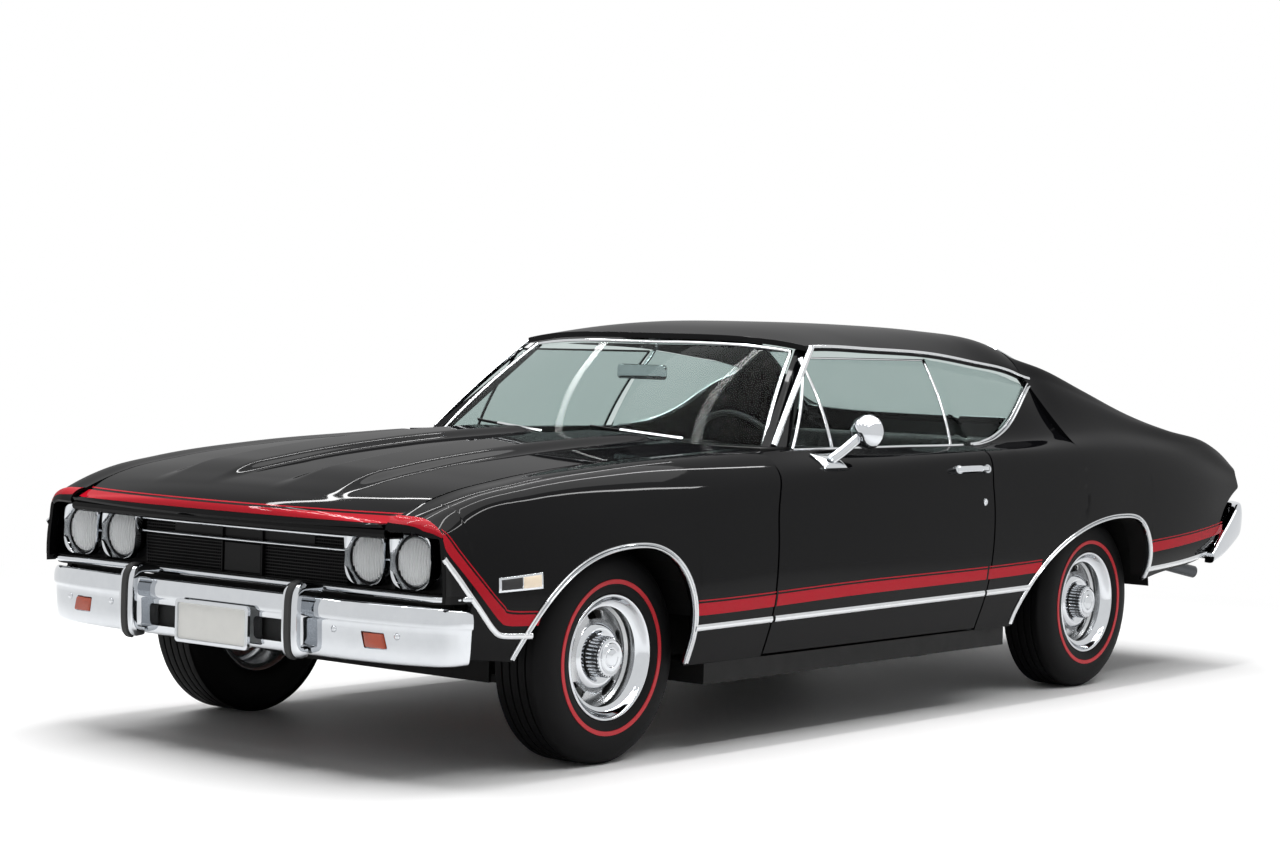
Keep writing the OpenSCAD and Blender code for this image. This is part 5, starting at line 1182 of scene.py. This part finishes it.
seat_base = joined(box(-150, 320, 222, 582, 280.5, 320), box(-180, 330, 165, 640, 320, 408))
for mirror, hand in HANDS:
    pad("seat_cushion_" + hand, CUSHION, 250, 120, 12, 10, ("front_seats",), SEAT_Y, mirror)
    pad("seat_back_" + hand, BACKREST, 246, 100, 10, 10, (), SEAT_Y, mirror)
    piece("seat_base_" + hand, *seat_base, vinyl_black, "body", "vinyl", (), 6, mirror=mirror)
pad("bench_cushion", BENCH_CUSHION, 580, 100, 8, 26, ("rear_seat",))
pad("bench_back", BENCH_BACK, 580, 92, 8, 26)
piece("bench_base", *box(-1100, -640, -560, 560, 515.5, 530), vinyl_black, "body", "vinyl", (), 6)
shelf = joined(box(-1512, -1262, -594, 594, SHELF_FOOT, SHELF_TOP),
               box(-1600, -1512, -414, 414, SHELF_FOOT, SHELF_TOP),
               box(-1600, -1585, -414, 414, SHELF_TOP, 968))
piece("parcel_shelf", *shelf, vinyl_black, "body", "vinyl", (), 3)

# Dashboard: a foam pad under black vinyl from pillar to pillar, screwed to the cowl.
# Two large dials and three small ones are let into it in chromed rings before the driver.
# Printed dial: flat black with a low shine.
gauge_face = material("printed_gauge_face", ("#0a0a0a", "#151515"), 2, (0.2, 0.3), 0.02)
DASH_HALF, DIAL_X = 766, 490
# Its section. Columns: x, z.
DASH = [(598, 664), (598, 900), (575, 905), (540, 906), (505, 898), (478, 878), (471, 862), (476, 846),
        (492, 838), (500, 800), (486, 720), (492, 680), (510, 664)]
# Columns: y, z, radius.
DIALS = ((440, 770, 62), (300, 770, 62), (370, 716, 26), (225, 760, 30), (515, 760, 30))
x, z = through(DASH, 61).T
rings = np.array([np.column_stack([x, np.full(61, y), z]) for y in np.linspace(-DASH_HALF, DASH_HALF, 12)])
piece("dash_pad", rings, capped(12, 61), vinyl_black, "body", "vinyl", ("dashboard",))
for k, (y, z, r) in enumerate(DIALS):
    bezel = [(r, 0), (r + 4, 8), (r + 6, 2), (r + 5, -6), (r, -9), (r - 3, -4)]
    dial = [(0.01, -3), (r, -2), (r, 6), (0.01, 6)]
    piece(f"gauge_bezel_{k}", *facing(bezel, 40, (DIAL_X, y, z)), chrome, "body", "chrome")
    piece(f"gauge_face_{k}", *facing(dial, 40, (DIAL_X, y, z)), gauge_face, "body", "trim_black")

# Steering wheel: a moulded vinyl rim on a steel ring, with two chromed spokes and a padded horn cap.
# It is nutted to the column's shaft and turns about it.
COLUMN, RAKE, GRIP_RADIUS = np.array((330, 370, 850.0)), math.radians(-65), 195
SPOKE = [(-14, -4), (-12, 3), (0, 5), (12, 3), (14, -4)]
HORN = [(0.01, 22), (20, 21), (34, 16), (40, 6), (40, -6), (34, -13), (11, -13), (11, 8), (0.01, 8)]


def at_column(points):
    """Points of the wheel lying flat, raked and moved to the column's end."""
    x, y, z = np.asarray(points, float).reshape(-1, 3).T
    c, s = math.cos(RAKE), math.sin(RAKE)
    return np.stack([x * c + z * s, y, -x * s + z * c], -1) + COLUMN


points, faces = lathe(circle(16) * (10, 10.5) + (GRIP_RADIUS, 0), 96)
piece("wheel_grip", at_column(points[:, [0, 2, 1]]), faces, vinyl_black, "steering_wheel", "trim_black",
      ("steering_wheel",))
for hand, sign in (("left", 1), ("right", -1)):
    path = [(-6, sign * y, -6 + 6 * (y / 186) ** 2) for y in np.linspace(26, 188, 14)]
    points, faces = sweep(path, (0, 0, 1), SPOKE)
    piece("wheel_spoke_" + hand, at_column(points), faces, chrome, "steering_wheel", "chrome")
points, faces = lathe(HORN, 48)
piece("horn_cap", at_column(points[:, [0, 2, 1]]), faces, vinyl_black, "steering_wheel", "trim_black")
dress("trim_black", vinyl_black, "steering_column")

# Inside mirror: a rounded silvered glass in a thin stamped case, crimped round its edge.
# A bent chromed stem carries it from the windshield header.
MIRROR_Z = 1155
# Columns: x, share of the outline.
CASE = ((421, 0.97), (419, 1.0), (424, 1.03), (434, 1.0), (438, 0.9))
STEM = [(432, 0, 1165), (410, 0, 1180), (375, 0, 1210), (350, 0, 1245), (340, 0, 1275)]
rings = stacked(0, MIRROR_Z, *((x, rounded(105, 25, 14) * k) for x, k in CASE))
piece("inside_mirror_case", rings, capped(5, 24), mirror_glass, "body", "chrome", ("inside_mirror",))
moulding("inside_mirror_stem", through(STEM, 20), (0, 1, 0), circle(12) * 5)

# Cowl: the louvred panel between hood and windshield, stamped in steel and painted body black.
# It is screwed down over the plenum and drops towards the hood; the two wipers are parked on the glass.
COWL_REAR, COWL_FRONT, HINGE_CUT = (SCREEN_FOOT + 6, SCREEN_SWEEP), (862, 72), 34
WIPER_RUBBER = [(-4, -3), (-4, 2), (-1, 7), (1, 7), (4, 2), (4, -3)]
WIPER_ARM = [(-5, -2), (-4, 3), (4, 3), (5, -2)]
v = np.linspace(1, -1, 61)[:, None]
rows = np.linspace(0, 1, 10)[None]
# Its front corners are cut back from the swing of the hood's rear edge.
x = between(v, rows, COWL_REAR, COWL_FRONT) - HINGE_CUT * ease((np.abs(v) - 0.35) / 0.2) * rows
z = COWL_Z + 1.1 - 9 * rows + 4 * np.sin(rows * math.pi) * (1 - v * v)
cowl = np.stack([x, v * (705 - 30 * rows), z], -1)
points, faces = shell(cowl, cowl - (0, 0, 2))
piece("cowl_panel", points, faces, black_enamel, "body", "body_paint")
louvres = []
for y in np.arange(-420, 421, 24):
    x = 800 - 90 * (y / SCREEN_HALF) ** 2
    louvres.append(box(x - 6, x + 26, y - 4, y + 4, 928, 935.5))
piece("cowl_louvres", *joined(*louvres), grille_black, "body", "grille_black", (), 1.5)
lie = np.linspace(0, 1, 24)
for name, root, tip in (("left", 430, 40), ("right", -160, -520)):
    y = np.linspace(root, tip, 24)
    foot = SCREEN_FOOT - SCREEN_SWEEP * (y / SCREEN_HALF) ** 2
    path = np.stack([foot + 6 - 26 * lie, y, 944 + 26 * lie], -1)
    points, faces = sweep(path, (1, 0, 0.9), WIPER_RUBBER)
    piece("wiper_blade_" + name, points, faces, rubber_black, "body", "trim_black")
    arm = np.stack([foot + 20 - 20 * lie, y + 10, 946 + 28 * lie], -1)[:16]
    moulding("wiper_arm_" + name, arm, (1, 0, 0.9), WIPER_ARM, stainless)

# Tail: a flat black panel with a red lens at each side in a bright frame, over the bumper blade.
# The lenses are moulded acrylic with two bright ribs, screwed on from behind through the frame.
# Red acrylic: a dark, glossy red.
lamp_red = material("red_acrylic", ("#7a0c10", "#8e1216"), 5, (0.06, 0.14), 0.4, **{"Coat Weight": 0.5})
TAIL_Y, TAIL_Z, TAIL_HALF, TAIL_TALL, TAIL_CORNER = 635, 728, 163, 34, 12
# Columns: x, share of the outline.
TAIL_LENS = ((-2428, 1), (-2441, 1), (-2445, 0.97), (-2446, 0.9))
# Columns: x, growth past the outline.
TAIL_FRAME = ((-2428, 9), (-2440, 9), (-2443, 6), (-2443, 2), (-2438, 0.5))
dress("body_paint", black_enamel, "tail_panel")
outline = rounded(TAIL_HALF, TAIL_TALL, TAIL_CORNER)
lens_rings = stacked(TAIL_Y, TAIL_Z, *((x, outline * k) for x, k in TAIL_LENS))
grown = [(x, rounded(TAIL_HALF + g, TAIL_TALL + g, TAIL_CORNER + g)) for x, g in TAIL_FRAME]
frame_rings = stacked(TAIL_Y, TAIL_Z, *grown)
for mirror, hand in HANDS:
    piece("tail_lens_" + hand, lens_rings, capped(4, 24), lamp_red, "body", "lamp_red", ("tail_lamps",),
          mirror=mirror)
    piece("tail_frame_" + hand, frame_rings, quads(5, 24, closed=True), chrome, "body", "chrome", sharp=50,
          mirror=mirror)
    for place, across in (("inner", -55), ("outer", 55)):
        rib = [(-2447, TAIL_Y + across, z) for z in np.linspace(698, 758, 5)]
        moulding(f"tail_rib_{place}_{hand}", rib, (-1, 0, 0), bead(6, 3), mirror=mirror)

# Tail pipes: bent aluminised tube from the mufflers over the axle to a turned-out tip under each quarter.
# A strap hanger holds each one behind the axle.
PIPE = [(-470, 345, 224), (-640, 372, 250), (-900, 440, 400), (REAR_AXLE, 470, 440), (-1620, 505, 440),
        (-1950, 560, 436), (-2200, 606, 414), (-2405, 690, 368)]
PIPE_OUTER, PIPE_BORE, STRAP_RADIUS = 25, 22, 29
route = through(PIPE, 90)
outer, _ = sweep(route, (0, 0.2, 1), circle(20) * PIPE_OUTER)
bore, _ = sweep(route[-12:], (0, 0.2, 1), circle(20) * PIPE_BORE)
tube = np.concatenate([outer, bore[::-1]])
x, y, z = PIPE[5]
a = np.linspace(-2.4, 2.4, 22)
strap = np.stack([0 * a + x, y + STRAP_RADIUS * np.sin(a), z - STRAP_RADIUS * np.cos(a)], -1)
post = [(x, y, height) for height in np.linspace(460, 520, 4)]
hanger = joined(sweep(strap, (1, 0, 0), [(-1.5, -10), (1.5, -10), (1.5, 10), (-1.5, 10)]),
                sweep(post, (1, 0, 0), [(-8, -3), (8, -3), (8, 3), (-8, 3)]))
for mirror, hand in HANDS:
    piece("tail_pipe_" + hand, tube, capped(len(tube), 20), pipe_steel, "body", "bare_steel", sharp=50,
          mirror=mirror)
    piece("pipe_hanger_" + hand, *hanger, bare_steel, "body", "bare_steel", mirror=mirror)

# Splash shields: pressed steel panels behind the rear wheels, in chassis black.
# Each closes its wheelhouse down to the quarter's lower edge and is spot welded along both.
SHIELD_RADIUS = 374
turn = np.radians(np.linspace(7, 40, 16))[:, None]
across = np.linspace(610, 896, 8)[None]
shield = np.stack([REAR_AXLE - SHIELD_RADIUS * np.cos(turn) + 0 * across, across + 0 * turn,
                   TREAD + SHIELD_RADIUS * np.sin(turn) + 0 * across], -1)
points, faces = shell(shield, shield - (4, 0, 0))
for mirror, hand in HANDS:
    piece("splash_shield_" + hand, points, faces, chassis_black, "body", "underbody", mirror=mirror)

# Rear valance: a rolled steel pan in body black that closes the tail under the bumper.
# It is spot welded to the tail panel and curves forward towards the quarters.
VALANCE_HALF = 800
# Its section. Columns: x, z.
VALANCE = np.array([(-2396, 540), (-2412, 512), (-2414, 484), (-2404, 456), (-2380, 436),
                    (-2350, 428)], float)
out = np.linspace(-1, 1, 49)[:, None]
x, z = VALANCE.T
pan = np.stack([x + 44 * out ** 4, VALANCE_HALF * out + 0 * x, z + 8 * out ** 2], -1)
piece("rear_valance", *shell(pan, pan + (4, 0, 0)), black_enamel, "body", "body_paint")

# Trunk side drops and arch flanges: inner sheet steel in chassis black, spot welded inside the quarters.
# The drops close the trunk floor out to the sill, and the flanges close each arch in to its wheelhouse.
DROP_INNER, FLANGE_INNER, SHEET = 590, 858.0, 3
x = np.linspace(-2350, -1640, 30)[:, None]
sill = curve(SILL, x)
reach = np.linspace(0, 1, 6)[None]
y = DROP_INNER + (sill[..., 0] - 20 - DROP_INNER) * reach
drop = np.stack([x + 0 * reach, y, sill[..., 1] + 22 + 0 * reach], -1)
edge = arch(REAR_ARCH, np.linspace(0, 180, 90))
away = away_from(edge)
edge = edge + 9 * away
edge = edge[edge[:, 1] > curve(SILL, edge[:, 0])[:, 1] + 8]
spots, face = on_side(REAR, *edge.T)
root = np.column_stack([edge[:, 0], np.full(len(edge), FLANGE_INNER), edge[:, 1]])
flange = np.stack([root, spots - face * 7], 1)
thick = SHEET * np.insert(away[:len(edge)], 1, 0, axis=1)[:, None]
for mirror, hand in HANDS:
    piece("trunk_drop_" + hand, *shell(drop, drop - (0, 0, SHEET)), chassis_black, "body", "underbody",
          mirror=mirror)
    piece("arch_flange_" + hand, *shell(flange, flange + thick), chassis_black, "body", "underbody",
          mirror=mirror)

# Studio: a pale seamless floor and backdrop, one broad soft light overhead and a row of long strip lights.
# The strips show as thin lines along the paint and chrome; the floor keeps the car's shadow.
ROOM_LEVEL, FLOOR_SIZE = 0.28, 60


def white_when_seen(tree):
    """A level of 1 for what is seen or mirrored, and the room's own level for what only lights the car."""
    ray = add(tree, "LightPath")
    seen = add(tree, "Math", {"operation": "ADD"},
               {0: ray.outputs["Is Camera Ray"], 1: ray.outputs["Is Transmission Ray"]})
    seen = add(tree, "Math", {"operation": "ADD", "use_clamp": True},
               {0: seen.outputs[0], 1: ray.outputs["Is Glossy Ray"]})
    level = add(tree, "MapRange", {"To Min": ROOM_LEVEL, "To Max": 1.0}, {"Value": seen.outputs[0]})
    return level.outputs[0]


def lamp(name, place, size, watts):
    """A soft oblong light that shines straight down."""
    data = bpy.data.lights.new(name, "AREA")
    data.shape = "RECTANGLE"
    data.size, data.size_y = size
    data.energy = watts
    made = bpy.data.objects.new(name, data)
    bpy.context.scene.collection.objects.link(made)
    made.location = place


studio = bpy.data.scenes[0].world or bpy.data.worlds.new("studio")
bpy.context.scene.world = studio
studio.use_nodes = True
tree = studio.node_tree
tree.nodes.clear()
glow = add(tree, "Background", {"Color": (1, 1, 1, 1)}, {"Strength": white_when_seen(tree)})
add(tree, "OutputWorld", {}, {"Surface": glow.outputs[0]})
bpy.ops.mesh.primitive_plane_add(size=FLOOR_SIZE)
floor = bpy.context.object
floor.name = "studio_floor"
# Painted floor: near-white with a low sheen; away from the car it turns into the backdrop.
pale_floor = material("pale_floor", ("#f4f4f4", "#f7f7f7"), 900, (0.5, 0.6), **{"Specular IOR Level": 0.15})
tree = pale_floor.node_tree
lit = next(n for n in tree.nodes if n.type == "BSDF_PRINCIPLED")
ending = next(n for n in tree.nodes if n.type == "OUTPUT_MATERIAL")
spot = add(tree, "NewGeometry")
reach = add(tree, "VectorMath", {"operation": "LENGTH"}, {0: spot.outputs["Position"]})
fade = {"From Min": 3.4, "From Max": 5.5, "interpolation_type": "SMOOTHSTEP"}
far = add(tree, "MapRange", fade, {"Value": reach.outputs["Value"]})
white = add(tree, "Emission", {}, {"Strength": white_when_seen(tree)})
both = add(tree, "MixShader", {}, {0: far.outputs[0], 1: lit.outputs[0], 2: white.outputs[0]})
tree.links.new(both.outputs[0], ending.inputs["Surface"])
floor.data.materials.append(pale_floor)
lamp("ceiling", (0, 0, 6), (9, 7), 450)
for i, y in enumerate((-3.2, -1.1, 1.1, 3.2)):
    lamp(f"strip_{i}", (0.4, y, 4.2), (7, 0.12), 75)

# Camera: it stands off the car's left front corner at shoulder height, with a long lens.
# Its place in metres, its yaw, pitch and roll in degrees and its reach were measured from the photograph.
EYE, TURN = (7.852, 5.954, 1.278), (218.7358, -1.8865, 1.6178)
SENSOR, FOCAL_PX, PHOTO_PX = 36, 2727.62, 1280
lens = bpy.data.cameras.new("photo_camera")
eye = bpy.data.objects.new("photo_camera", lens)
bpy.context.scene.collection.objects.link(eye)
bpy.context.scene.camera = eye
yaw, pitch, roll = (math.radians(a) for a in TURN)
ahead = np.array([math.cos(yaw) * math.cos(pitch), math.sin(yaw) * math.cos(pitch), math.sin(pitch)])
flat_right = np.cross(ahead, (0, 0, 1))
flat_right /= np.linalg.norm(flat_right)
right = flat_right * math.cos(roll) + np.cross(flat_right, ahead) * math.sin(roll)
pose = np.eye(4)
pose[:3] = np.column_stack([right, np.cross(right, ahead), -ahead, EYE])
eye.matrix_world = Matrix(pose.tolist())
lens.sensor_width = SENSOR
lens.lens = FOCAL_PX / PHOTO_PX * SENSOR
lens.clip_end = 100
bpy.context.scene.view_settings.view_transform = "Standard"
